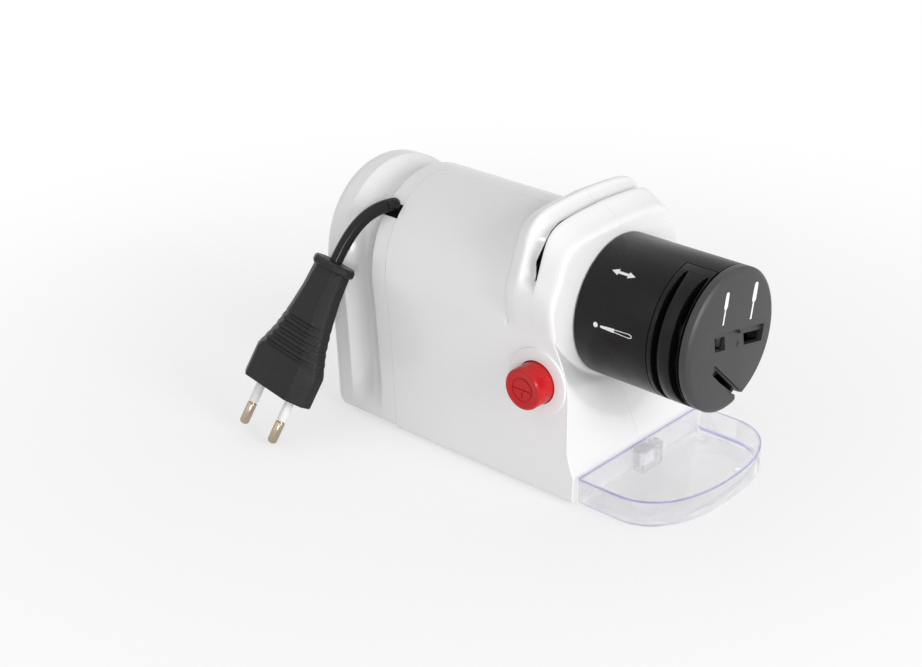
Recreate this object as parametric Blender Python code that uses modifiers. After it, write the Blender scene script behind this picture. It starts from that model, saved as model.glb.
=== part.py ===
"""Mains knife sharpener, modelled as separate solids.

A motor in a clamshell housing turns two grinding wheels: one under the blade groove
in the head, and one inside a drum that turns and pulls off.
While it is built, X is measured from the nose plane towards the drum, the power
button faces -Y and Z is up from the surface that the object stands on. The last
lines move everything, so that the origin is the centre of the base.
"""

import math

import bmesh
import bpy
from mathutils import Matrix, Vector

for old in list(bpy.data.objects):
    bpy.data.objects.remove(old, do_unlink=True)

# Fits
GAP = 0.0003
RUNNING_GAP = 0.0001
OVERRUN = 0.001
MERGE = 0.00001

# Facets round a circle
LARGE_STEPS = 36
MEDIUM_STEPS = 20
SMALL_STEPS = 10
SHARP_ANGLE = math.radians(35)

# Housing section: a flared base under a round arch
FLOOR_Z = 0.0010
BASE_EDGE = 0.0020
BASE_HALF_WIDTH = 0.0417
ARCH_RADIUS = 0.0390
ARCH_Z = 0.0605
SHOULDER_Z = 0.0640
FLARE_POWER = 1.6
SHELL_WALL = 0.0024
SIDE_SHARES = (0.0, 0.2, 0.5, 0.78, 1.0)

# Housing along its length
SEAM_X = -0.0778
SEAM_LEAN = 0.125
STEP_X = -0.0239
STEP_ROUND = 0.0012
HEAD_HALF_WIDTH = 0.0406
REAR_FIN_Z = 0.1095
FRONT_FIN_DROP = 0.0027
ROOF_FRONT_DROP = 0.0076
NOSE_ROUND = 0.0022
NOSE_WALL = 0.0024
HEAD_WIDTH_SHARES = (0.970, 1.0, 1.0, 0.975, 0.933, 0.892, 0.852, 0.806, 0.740, 0.610, 0.345, 0.0)
HEAD_HEIGHT_SHARES = (0.110, 0.240, 0.440, 0.530, 0.640, 0.747, 0.846, 0.915, 0.948, 0.968, 0.990, 1.0)

# Blade groove over the head
GROOVE_X = -0.01305
GROOVE_MOUTH = 0.0067
GROOVE_DEPTH = 0.0060
GROOVE_END_Z = 0.0840
GROOVE_FADE = 0.0060
KERF_WIDTH = 0.0022
KERF_FLOOR_Z = 0.0860

# Apron under the drum, from the nose plane to the lip
APRON_REACH = 0.0126
APRON_CENTRE_Z = 0.0385
LIP_Z = 0.0120
APRON_X_SHARES = (0.0, 0.19, 0.373, 0.508, 0.619, 0.667, 0.762, 0.881, 0.968, 1.0)
APRON_EDGE_SHARES = (1.0, 0.92, 0.827, 0.75, 0.663, 0.192, 0.125, 0.058, 0.010, 0.0)
APRON_CENTRE_SHARES = (1.0, 0.85, 0.64, 0.51, 0.434, 0.404, 0.302, 0.17, 0.09, 0.0)

# Bulkheads, screws and feet
BULKHEAD_WALL = 0.0030
FRONT_BULKHEAD_X = -0.0274
REAR_BULKHEAD_X = -0.0670
BOSS_RADIUS = 0.0042
SCREW_RADIUS = 0.0015
SCREW_HEAD_RADIUS = 0.0027
SCREW_HEAD = 0.0020
HOUSING_SCREW_X_REAR = -0.0600
HOUSING_SCREW_X_FRONT = -0.0240
HOUSING_SCREW_Z_LOW = 0.0160
HOUSING_SCREW_Z_HIGH = 0.0400
HOUSING_SCREW_DEPTH = 0.0120
HOUSING_SCREW_SEAT = 0.0080
FOOT_RADIUS = 0.0050
FOOT_HEIGHT = 0.0022
FOOT_Y = 0.0300
FOOT_X_FRONT = 0.0
FOOT_X_REAR = -0.0680

# Rear cover
COVER_LIFT = 0.0008
COVER_DEPTH = 0.0360
COVER_RING = 0.0075
WAIST_END = 0.0245
WAIST_DEPTH = 0.0055
WAIST_FLOOR_Z = 0.0060
WAIST_FADE = 0.0140
COVER_ROUND = 0.0060
WAIST_SHARES = (0.0, 0.12, 0.3, 0.5, 0.7, 0.88, 1.0)
ROUND_SHARES = (0.0, 0.4, 0.7, 0.9, 1.0)
COVER_SCREW_Y = 0.0260
COVER_SCREW_Z = 0.0180
COVER_SCREW_LENGTH = 0.0190
COVER_SCREW_SEAT = 0.0100
VENT_WIDTH = 0.0022
VENT_PITCH = 0.0090
VENT_LOW_Z = 0.0480
VENT_HIGH_Z = 0.0780
VENTS = 5

# Motor and shaft, on one axis
AXIS_Z = 0.0676
MOTOR_RADIUS = 0.0210
MOTOR_LENGTH = 0.0460
MOTOR_WALL = 0.0015
MOTOR_FRONT = 0.0053
END_BELL = 0.0070
BEARING_RADIUS = 0.0080
BEARING_WIDTH = 0.0048
SHAFT_RADIUS = 0.0040
SPINDLE_RADIUS = 0.0030
SPINDLE_SHOULDER_X = -0.0177
SHAFT_TAIL = 0.0140
SPINDLE_INSET = 0.0030
CORE_RADIUS = 0.0135
CORE_REAR_ROOM = 0.0147
WINDING_RADIUS = 0.0125
WINDING_WIDTH = 0.0034
COMMUTATOR_RADIUS = 0.0090
COMMUTATOR_WIDTH = 0.0070
BRUSH_WIDTH = 0.0050
MAGNET_THICKNESS = 0.0040
MAGNET_ANGLE = math.radians(130)
MAGNET_MARGIN = 0.0020
MOTOR_SCREW_Y = 0.0160
FAN_RADIUS = 0.0170
FAN_WIDTH = 0.0070
FAN_HUB_RADIUS = 0.0065
FAN_DISC = 0.0014
FAN_BLADES = 6
FAN_BLADE = 0.0012

# Grinding wheels
HEAD_WHEEL_RADIUS = 0.0200
HEAD_WHEEL_WIDTH = 0.0080
DRUM_WHEEL_CLEARANCE = 0.0015
DRUM_WHEEL_WIDTH = 0.0097
WHEEL_BEVEL = 0.0022
SPACER_RADIUS = 0.0050
WASHER_RADIUS = 0.0060
WASHER_THICKNESS = 0.0008
NUT_RADIUS = 0.0046
NUT_THICKNESS = 0.0018

# Neck between the nose and the drum
BUSH_RADIUS = 0.0075
BUSH_FLANGE_RADIUS = 0.0095
BUSH_FLANGE = 0.0012
BUSH_REAR = 0.0050
NECK_LENGTH = 0.0066
NECK_FLANGE = 0.0023
NECK_FLANGE_LIP = 0.0026
NECK_BORE_CLEARANCE = 0.0007
NECK_SCREW_SHARE = 0.4898
TURN_RING_WALL = 0.0026
NECK_SCREW_RADIUS = 0.0013
NECK_SCREW_HEAD_RADIUS = 0.0025
NECK_SCREW_HEAD = 0.0016
NECK_BOSS_RADIUS = 0.0032
NECK_BOSS = 0.0060

# Drum
DRUM_RADIUS = 0.0280
DRUM_WALL = 0.0022
DRUM_LENGTH = 0.0520
DRUM_CLEARANCE = 0.0005
CAP_LENGTH = 0.0039
CAP_WALL = 0.0022
CAP_CHAMFER = 0.0011
CAP_SPIGOT = 0.0036
CAP_SPIGOT_WALL = 0.0019
GUIDE_LENGTH = 0.0185
GUIDE_START = math.radians(10)
GUIDE_END = math.radians(156)
GUIDE_DEPTH = 0.0063
GUIDE_FLANGE = 0.0022
SLOT_START = math.radians(19)
SLOT_END = math.radians(147)
REAR_SLOT_INSET = 0.0164
REAR_SLOT_WIDTH = 0.0030
FRONT_SLOT_INSET = 0.0084
FRONT_SLOT_WIDTH = 0.0035
FACE_TILT = math.radians(-11.5)
SMALL_PORT_SHARES = (-0.2500, 0.0286)
SMALL_PORT_SIZE_SHARES = (0.2429, 0.1750)
WIDE_PORT_SHARES = (0.5250, -0.1357)
WIDE_PORT_SIZE_SHARES = (0.4357, 0.1500)
NOTCH_Y_SHARES = (-0.368, 0.289, 0.482, 0.540, 0.200, 0.182, 0.161, 0.021, -0.461)
NOTCH_Z_SHARES = (-0.225, -0.832, -0.939, -1.150, -1.150, -0.957, -0.850, -0.775, -0.304)

# Power button and switch
BUTTON_X = -0.0072
BUTTON_Z = 0.0458
PAD_RADIUS = 0.0138
PAD_FACE_Y = 0.0399
BUTTON_RADIUS = 0.0084
BUTTON_CLEARANCE = 0.0004
BUTTON_PROUD = 0.0086
BUTTON_EDGE = 0.0009
BUTTON_FLANGE_Y = 0.0363
BUTTON_FLANGE_LIP = 0.0009
BUTTON_FLANGE = 0.0009
STEM_RADIUS = 0.0030
STEM_END_Y = 0.0280
BUTTON_TRAVEL = 0.0025
SPRING_RADIUS = 0.0044
SPRING_WIRE_RADIUS = 0.0004
SPRING_TURNS = 5
SPRING_POINTS = 8
SWITCH_FRONT_Y = 0.0250
SWITCH_REAR_Y = 0.0160
SWITCH_WIDTH = 0.0140
SWITCH_HEIGHT = 0.0100
SWITCH_X = -0.0100
PLUNGER_RADIUS = 0.0018
PLUNGER_LENGTH = 0.0062
SHELF_THICKNESS = 0.0024
SHELF_LIP = 0.0017
SHELF_LIP_HEIGHT = 0.0036

# Dust tray
TRAY_GAP = 0.0010
TRAY_HALF_WIDTH = 0.0402
TRAY_STRAIGHT = 0.0180
TRAY_ROUND = 0.0252
TRAY_POWER = 2.29
TRAY_TOP_Z = 0.0121
TRAY_BOTTOM_Z = 0.0008
TRAY_WALL = 0.0015
TRAY_BASE_INSET = 0.0015
TRAY_BASE_RISE = 0.0022
TRAY_STEPS = 20
POCKET_HALF_WIDTH = 0.0065
POCKET_DEPTH = 0.0064
POCKET_WALL = 0.0012
TONGUE_HALF_WIDTH = 0.0042
TONGUE_LENGTH = 0.0058
TONGUE_LOW_Z = 0.0042
TONGUE_HIGH_Z = 0.0094
TRAY_FOOT_RADIUS = 0.0020
TRAY_FOOT_DROP = 0.0005
TRAY_FOOT_X_SHARES = (0.16, 0.16, 0.72, 0.72)
TRAY_FOOT_Y_SHARES = (-0.84, 0.84, -0.56, 0.56)

# Cord gland in the cover's notch, on the arch
GLAND_ANGLE = math.radians(42.8)
GLAND_NOTCH_LENGTH = 0.0080
GLAND_NOTCH_WIDTH = 0.0062
GLAND_DEPTH = 0.0050
GLAND_SUNK = 0.0009
GLAND_FLANGE = 0.0020
GLAND_SEAT = 0.0009
GLAND_FLANGE_HALF_WIDTH = 0.0045
GLAND_STUB = 0.0016
GLAND_NECK = 0.0006

# Mains lead: where it leaves the gland, where it enters the plug
CORD_RADIUS = 0.0027
CORD_EXIT = Vector((-0.09351, -0.02792, 0.09120))
CORD_EXIT_DIRECTION = Vector((-0.771, -0.571, -0.280)).normalized()
CORD_EXIT_HANDLE = 0.01123
CORD_END_HANDLE = 0.01181
CORD_POINTS = 16

# Two-pin plug: its face is the origin of its frame, and its pins point along local Z
PLUG_FACE = Vector((-0.1143, -0.0738, 0.01915))
PLUG_PIN_DIRECTION = Vector((-0.135, -0.488, -0.863)).normalized()
PLUG_WIDTH_DIRECTION = Vector((0.991, -0.074, -0.113)).normalized()
PLUG_LENGTH = 0.0573
PLUG_HALF_WIDTH = 0.0180
PLUG_FLAT_HALF_WIDTH = 0.0123
PLUG_HALF_THICKNESS = 0.0079
PLUG_RIDGE_FLAT = 0.0011
PLUG_LENGTH_SHARES = (0.0, 0.23, 0.40, 0.58, 0.76, 0.935)
PLUG_WIDTH_SHARES = (1.0, 1.0, 0.76, 0.60, 0.50, 0.46)
PLUG_FLAT_SHARES = (1.0, 1.0, 0.68, 0.50, 0.39, 0.34)
PLUG_THICKNESS_SHARES = (1.0, 1.0, 0.88, 0.78, 0.70, 0.66)
COLLAR_HALF_WIDTH = 0.0100
COLLAR_HALF_THICKNESS = 0.0066
COLLAR_THICKNESS = 0.0034
PIN_SPACING = 0.0180
PIN_RADIUS = 0.0020
PIN_LENGTH = 0.0195
PIN_ROOT_RADIUS = 0.0013
PIN_ROOT = 0.0060
SLEEVE_RADIUS = 0.0019
SLEEVE_LENGTH = 0.0095

# Wiring inside
TERMINAL_WIDTH = 0.0160
TERMINAL_DEPTH = 0.0085
TERMINAL_HEIGHT = 0.0100
TERMINAL_Y = -0.0120
TERMINAL_Z = 0.0240
LEAD_RADIUS = 0.0022
LEAD_BEND = 0.0066
LEAD_DROP = 0.0060

# The places that the sizes above lead to
NEAR = -1
FAR = 1
LIP_X = APRON_REACH
TRAY_BACK_X = LIP_X + TRAY_GAP
TRAY_FRONT_X = TRAY_BACK_X + TRAY_STRAIGHT + TRAY_ROUND
FRONT_FIN_Z = REAR_FIN_Z - FRONT_FIN_DROP
ROOF_FRONT_Z = REAR_FIN_Z - ROOF_FRONT_DROP
MOTOR_FRONT_X = FRONT_BULKHEAD_X - BULKHEAD_WALL - GAP
MOTOR_REAR_X = MOTOR_FRONT_X - MOTOR_LENGTH
BELL_REAR_X = MOTOR_REAR_X - GAP - END_BELL
SHAFT_REAR_X = BELL_REAR_X - SHAFT_TAIL
CORE_REAR_X = MOTOR_REAR_X + CORE_REAR_ROOM
SPINDLE_FRONT_X = DRUM_LENGTH - SPINDLE_INSET
REAR_SLOT_X = DRUM_LENGTH - REAR_SLOT_INSET
FRONT_SLOT_X = DRUM_LENGTH - FRONT_SLOT_INSET
GUIDE_X = DRUM_LENGTH - GUIDE_LENGTH
HEAD_WHEEL_X = SPINDLE_SHOULDER_X + GAP
SPACER_X = HEAD_WHEEL_X + HEAD_WHEEL_WIDTH + GAP
DRUM_WHEEL_X = (REAR_SLOT_X + FRONT_SLOT_X + FRONT_SLOT_WIDTH) / 2 - DRUM_WHEEL_WIDTH / 2
WASHER_X = DRUM_WHEEL_X + DRUM_WHEEL_WIDTH + GAP
NUT_X = WASHER_X + WASHER_THICKNESS + GAP
SHELL_INNER_RADIUS = DRUM_RADIUS - DRUM_WALL
RING_RADIUS = SHELL_INNER_RADIUS - GAP
NECK_FLANGE_RADIUS = RING_RADIUS - TURN_RING_WALL - GAP
NECK_RADIUS = NECK_FLANGE_RADIUS - NECK_FLANGE_LIP
NECK_BORE_RADIUS = BUSH_FLANGE_RADIUS + NECK_BORE_CLEARANCE
NECK_SCREW_CIRCLE = NECK_BORE_RADIUS + (NECK_RADIUS - NECK_BORE_RADIUS) * NECK_SCREW_SHARE
GUIDE_INNER_RADIUS = SHELL_INNER_RADIUS - GUIDE_DEPTH
DRUM_WHEEL_RADIUS = GUIDE_INNER_RADIUS - DRUM_WHEEL_CLEARANCE
CAP_FACE_RADIUS = DRUM_RADIUS - CAP_CHAMFER
CAP_X = DRUM_LENGTH - CAP_LENGTH
SHELL_FRONT_X = CAP_X - GAP
BUTTON_FACE_Y = PAD_FACE_Y + BUTTON_PROUD
BUTTON_FLANGE_RADIUS = BUTTON_RADIUS + BUTTON_FLANGE_LIP
COVER_REAR_X = SEAM_X - COVER_DEPTH
WAIST_LENGTH = WAIST_END - COVER_RING
AXIS = Vector((0.0, 0.0, AXIS_Z))

model = bpy.data.collections.new("knife_sharpener")
cutters = bpy.data.collections.new("cutters")
for collection in (model, cutters):
    bpy.context.scene.collection.children.link(collection)


def material(name, colour, roughness, metallic=0.0, transmission=0.0):
    """A Principled material."""
    made = bpy.data.materials.new(name)
    made.use_nodes = True
    shader = made.node_tree.nodes["Principled BSDF"]
    shader.inputs["Base Color"].default_value = (*colour, 1.0)
    shader.inputs["Roughness"].default_value = roughness
    shader.inputs["Metallic"].default_value = metallic
    shader.inputs["Transmission Weight"].default_value = transmission
    return made


WHITE = (0.83, 0.82, 0.81)
BLACK = (0.012, 0.012, 0.013)
STEEL = (0.56, 0.55, 0.53)


def add(obj, colour=None, roughness=0.4, metallic=0.0, transmission=0.0, parent=None):
    """Put an object among the parts with its own material, or among the cutters."""
    if colour is None:
        cutters.objects.link(obj)
        obj.hide_render = True
        obj.display_type = "WIRE"
    else:
        model.objects.link(obj)
        obj.data.materials.append(material(obj.name, colour, roughness, metallic, transmission))
    obj.parent = parent
    return obj


def solid(name, mesh):
    """An object from a bmesh, with its faces pointing out and round sides smooth."""
    bmesh.ops.remove_doubles(mesh, verts=mesh.verts, dist=MERGE)
    bmesh.ops.recalc_face_normals(mesh, faces=mesh.faces)
    data = bpy.data.meshes.new(name)
    mesh.to_mesh(data)
    mesh.free()
    data.shade_smooth()
    data.set_sharp_from_angle(angle=SHARP_ANGLE)
    return bpy.data.objects.new(name, data)


def loft(name, rings):
    """A closed solid through rings that have as many points each."""
    mesh = bmesh.new()
    rows = [[mesh.verts.new(point) for point in ring] for ring in rings]
    for row, following in zip(rows, rows[1:]):
        for i, vertex in enumerate(row):
            j = (i + 1) % len(row)
            mesh.faces.new((vertex, row[j], following[j], following[i]))
    mesh.faces.new(rows[0])
    mesh.faces.new(rows[-1])
    return solid(name, mesh)


def box(name, low, high, turn=None):
    """A box between two corners, turned about the X axis through its centre."""
    size = Vector(high) - Vector(low)
    mesh = bmesh.new()
    bmesh.ops.create_cube(mesh, size=1.0, matrix=Matrix.Diagonal((*size, 1.0)))
    obj = solid(name, mesh)
    obj.location = (Vector(high) + Vector(low)) / 2
    if turn is not None:
        obj.rotation_euler = (turn, 0.0, 0.0)
    return obj


def cylinder(name, radius, start, end, steps=SMALL_STEPS):
    """A round bar between two points."""
    start, end = Vector(start), Vector(end)
    mesh = bmesh.new()
    bmesh.ops.create_cone(
        mesh, cap_ends=True, segments=steps, radius1=radius, radius2=radius, depth=(end - start).length
    )
    obj = solid(name, mesh)
    obj.rotation_euler = (end - start).to_track_quat("Z", "Y").to_euler()
    obj.location = (start + end) / 2
    return obj


def turned(name, outline, steps=MEDIUM_STEPS, location=AXIS, turn=None):
    """A closed outline of (along, radius) pairs turned about the local X axis."""
    pairs = list(zip(outline, outline[1:] + outline[:1]))
    if sum(a[0] * b[1] - b[0] * a[1] for a, b in pairs) < 0:
        outline = outline[::-1]
        pairs = list(zip(outline, outline[1:] + outline[:1]))
    data = bpy.data.meshes.new(name)
    edges = [
        (i, (i + 1) % len(outline))
        for i, (a, b) in enumerate(pairs)
        if a[1] > 0 or b[1] > 0
    ]
    data.from_pydata([(along, 0.0, radius) for along, radius in outline], edges, [])
    obj = bpy.data.objects.new(name, data)
    obj.location = location
    if turn is not None:
        obj.rotation_euler = turn
    screw = obj.modifiers.new("Turn", "SCREW")
    screw.axis = "X"
    screw.steps = steps
    screw.render_steps = steps
    screw.use_merge_vertices = True
    screw.merge_threshold = MERGE
    screw.use_smooth_shade = False
    return obj


def tube(outer, inner, start, end):
    """The outline of a ring or sleeve."""
    return [(start, outer), (end, outer), (end, inner), (start, inner)]


def sector(name, outline, start, end, steps):
    """An outline of (along, radius) pairs swept about X, from one angle to another.

    Angles are measured from the top towards -Y.
    """
    mesh = bmesh.new()
    face = mesh.faces.new([mesh.verts.new((along, 0.0, radius)) for along, radius in outline])
    bmesh.ops.rotate(mesh, verts=mesh.verts, matrix=Matrix.Rotation(start, 3, "X"))
    bmesh.ops.spin(
        mesh,
        geom=[face, *face.edges, *face.verts],
        axis=(1.0, 0.0, 0.0),
        angle=end - start,
        steps=steps,
    )
    return solid(name, mesh)


def prism(name, outline, low, high):
    """An outline in Y and Z, drawn out along X."""
    return loft(name, [[(x, y, z) for y, z in outline] for x in (low, high)])


def cut(obj, cutter, operation="DIFFERENCE"):
    """Take a cutter out of an object, or join it on."""
    boolean = obj.modifiers.new(cutter.name, "BOOLEAN")
    boolean.operation = operation
    boolean.object = cutter
    boolean.solver = "EXACT"


def join(obj, other):
    """Join a solid on to an object."""
    cut(obj, other, "UNION")


def piped(name, points, radius, resolution=2):
    """A tube along points, as a curve with a bevel."""
    curve = bpy.data.curves.new(name, "CURVE")
    curve.dimensions = "3D"
    curve.bevel_depth = radius
    curve.bevel_resolution = resolution
    curve.use_fill_caps = True
    spline = curve.splines.new("POLY")
    spline.points.add(len(points) - 1)
    for place, point in zip(spline.points, points):
        place.co = (*point, 1.0)
    return bpy.data.objects.new(name, curve)


def bezier(start, handle, end_handle, end, count):
    """Points along one cubic curve."""
    points = []
    for i in range(count):
        t = i / (count - 1)
        u = 1 - t
        points.append(u**3 * start + 3 * u * u * t * handle + 3 * u * t * t * end_handle + t**3 * end)
    return points


def through(points, count):
    """Points along a smooth curve that passes through the given ones."""
    made = []
    for i in range(len(points) - 1):
        before = points[max(i - 1, 0)]
        after = points[min(i + 2, len(points) - 1)]
        a, b = points[i], points[i + 1]
        made += bezier(a, a + (b - before) / 6, b - (after - a) / 6, b, count + 1)[:-1]
    return made + [points[-1]]


# Housing outlines


def seam_x(z):
    """The leaning plane where the rear cover meets the housing."""
    return SEAM_X - SEAM_LEAN * z


def side_half_width(z):
    """Half width of the flared base, or of the arch above it."""
    if z < ARCH_Z:
        share = (ARCH_Z - z) / (ARCH_Z - FLOOR_Z - BASE_EDGE)
        return ARCH_RADIUS + (BASE_HALF_WIDTH - ARCH_RADIUS) * share**FLARE_POWER
    return math.sqrt(ARCH_RADIUS**2 - (z - ARCH_Z) ** 2)


def side_points(top, inset=0.0, floor=FLOOR_Z):
    """From the middle of the floor outwards, then up the side to a height."""
    floor = floor + inset
    edge = floor + BASE_EDGE
    points = [(0.0, floor), (side_half_width(edge) - BASE_EDGE - inset, floor)]
    for share in SIDE_SHARES:
        z = edge + (top - edge) * share
        points.append((side_half_width(z) - inset, z))
    return points


def arch_points(inset=0.0):
    """From the shoulder over to the crest of the arch."""
    start = math.asin((SHOULDER_Z - ARCH_Z) / ARCH_RADIUS)
    count = len(HEAD_WIDTH_SHARES)
    points = []
    for i in range(1, count):
        angle = start + (math.pi / 2 - start) * i / count
        radius = ARCH_RADIUS - inset
        points.append((radius * math.cos(angle), ARCH_Z + radius * math.sin(angle)))
    return points + [(0.0, ARCH_Z + ARCH_RADIUS - inset)]


def barrel(inset=0.0, top=SHOULDER_Z):
    return side_points(top, inset) + arch_points(inset)


def head(crest, half_width=HEAD_HALF_WIDTH, inset=0.0):
    """The wider outline of the head, up to its crest."""
    points = side_points(SHOULDER_Z, inset)
    for across, up in zip(HEAD_WIDTH_SHARES, HEAD_HEIGHT_SHARES):
        points.append(((half_width - inset) * across, SHOULDER_Z + (crest - inset - SHOULDER_Z) * up))
    return points


def grooved(points):
    """The head's outline drawn in towards the shaft by the depth of the groove."""
    made = []
    for y, z in points:
        share = min(max((z - GROOVE_END_Z) / GROOVE_FADE, 0.0), 1.0)
        reach = math.hypot(y, z - AXIS_Z)
        scale = 1 - GROOVE_DEPTH * share / reach
        made.append((y * scale, AXIS_Z + (z - AXIS_Z) * scale) if share else (y, z))
    return made


def along_table(x, values):
    """A value of an apron table at a distance from the nose plane."""
    share = min(max(x / APRON_REACH, 0.0), 1.0)
    for i in range(len(values) - 1):
        low, high = APRON_X_SHARES[i], APRON_X_SHARES[i + 1]
        if share <= high:
            return values[i] + (values[i + 1] - values[i]) * (share - low) / (high - low)
    return values[-1]


def apron(x, wall=0.0):
    """The outline under the drum: low in the middle and rising to the sides."""
    edge = LIP_Z + (SHOULDER_Z - LIP_Z) * along_table(x + wall, APRON_EDGE_SHARES) - wall
    centre = LIP_Z + (APRON_CENTRE_Z - LIP_Z) * along_table(x + wall, APRON_CENTRE_SHARES) - wall
    points = side_points(edge, wall)
    half = points[-1][0]
    count = len(HEAD_WIDTH_SHARES)
    for i in range(1, count + 1):
        share = 1 - i / count
        points.append((half * share, centre + (edge - centre) * share**2))
    return points


def half_ring(x, points, side, middle):
    """One side of an outline at a place along X; x may be a function of height."""
    ring = []
    for y, z in points:
        across = middle if y == 0 else y
        ring.append((x(z) if callable(x) else x, side * across, z))
    return ring


def half_loft(name, stations, side, middle):
    """A solid on one side of the middle plane, which closes it with a single face."""
    mesh = bmesh.new()
    rows = [[mesh.verts.new(point) for point in half_ring(x, points, side, middle)] for x, points in stations]
    for row, following in zip(rows, rows[1:]):
        for i in range(len(row) - 1):
            mesh.faces.new((row[i], row[i + 1], following[i + 1], following[i]))
    mesh.faces.new(rows[0])
    mesh.faces.new(rows[-1])
    mesh.faces.new([row[0] for row in rows] + [row[-1] for row in rows[::-1]])
    return solid(name, mesh)


def housing_outside():
    """Stations from the rear seam to the lip."""
    groove_rear = GROOVE_X - GROOVE_MOUTH / 2
    groove_front = GROOVE_X + GROOVE_MOUTH / 2
    groove_floor = KERF_WIDTH / 2 - GAP
    soft_head = head(REAR_FIN_Z - STEP_ROUND, HEAD_HALF_WIDTH - STEP_ROUND / 2)
    soft_nose = head(ROOF_FRONT_Z - NOSE_ROUND, HEAD_HALF_WIDTH - NOSE_ROUND / 2)
    stations = [
        (seam_x, barrel()),
        (STEP_X, barrel()),
        (STEP_X + STEP_ROUND / 3, soft_head),
        (STEP_X + STEP_ROUND * 2, head(REAR_FIN_Z)),
        (groove_rear, head(REAR_FIN_Z)),
        (GROOVE_X - groove_floor, grooved(head(REAR_FIN_Z))),
        (GROOVE_X + groove_floor, grooved(head(REAR_FIN_Z))),
        (groove_front, head(FRONT_FIN_Z)),
        (-NOSE_ROUND, head(ROOF_FRONT_Z)),
        (0.0, soft_nose),
    ]
    return stations + [(APRON_REACH * share, apron(APRON_REACH * share)) for share in APRON_X_SHARES]


def above_shoulder(points):
    """An outline that keeps only what lies above the shoulder of the arch."""
    kept = [(y, z) for y, z in points if z > SHOULDER_Z]
    return [(0.0, kept[0][1]), *kept]


def housing_hollows():
    """The chambers between the bulkheads, under the apron and in the fins."""
    rear_front = REAR_BULKHEAD_X - BULKHEAD_WALL
    fin_wall = KERF_WIDTH / 2 + SHELL_WALL
    inner = barrel(SHELL_WALL)
    yield "rear", [(lambda z: seam_x(z) - OVERRUN, inner), (rear_front, inner)]
    yield "motor", [(REAR_BULKHEAD_X, inner), (FRONT_BULKHEAD_X - BULKHEAD_WALL, inner)]
    under = [(APRON_REACH * share - NOSE_WALL, SHELL_WALL) for share in APRON_X_SHARES]
    under = [(x, apron(x, wall)) for x, wall in under]
    nose_inner = barrel(SHELL_WALL, SHOULDER_Z - SHELL_WALL)
    yield "head", [(FRONT_BULKHEAD_X, nose_inner), (-NOSE_WALL, nose_inner)] + under
    rear_inner = above_shoulder(head(REAR_FIN_Z, inset=SHELL_WALL))
    yield "rear_fin", [(STEP_X + SHELL_WALL, rear_inner), (GROOVE_X - fin_wall, rear_inner)]
    yield "front_fin", [
        (GROOVE_X + fin_wall, above_shoulder(head(FRONT_FIN_Z - SHELL_WALL / 2, inset=SHELL_WALL))),
        (-NOSE_WALL - GAP, above_shoulder(head(ROOF_FRONT_Z - SHELL_WALL / 2, inset=SHELL_WALL))),
    ]


HOUSING_SCREWS = [
    (x, z)
    for x in (HOUSING_SCREW_X_REAR, HOUSING_SCREW_X_FRONT)
    for z in (HOUSING_SCREW_Z_LOW, HOUSING_SCREW_Z_HIGH)
]
NECK_SCREW_OFFSET = NECK_SCREW_CIRCLE * math.sin(math.radians(45))


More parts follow.
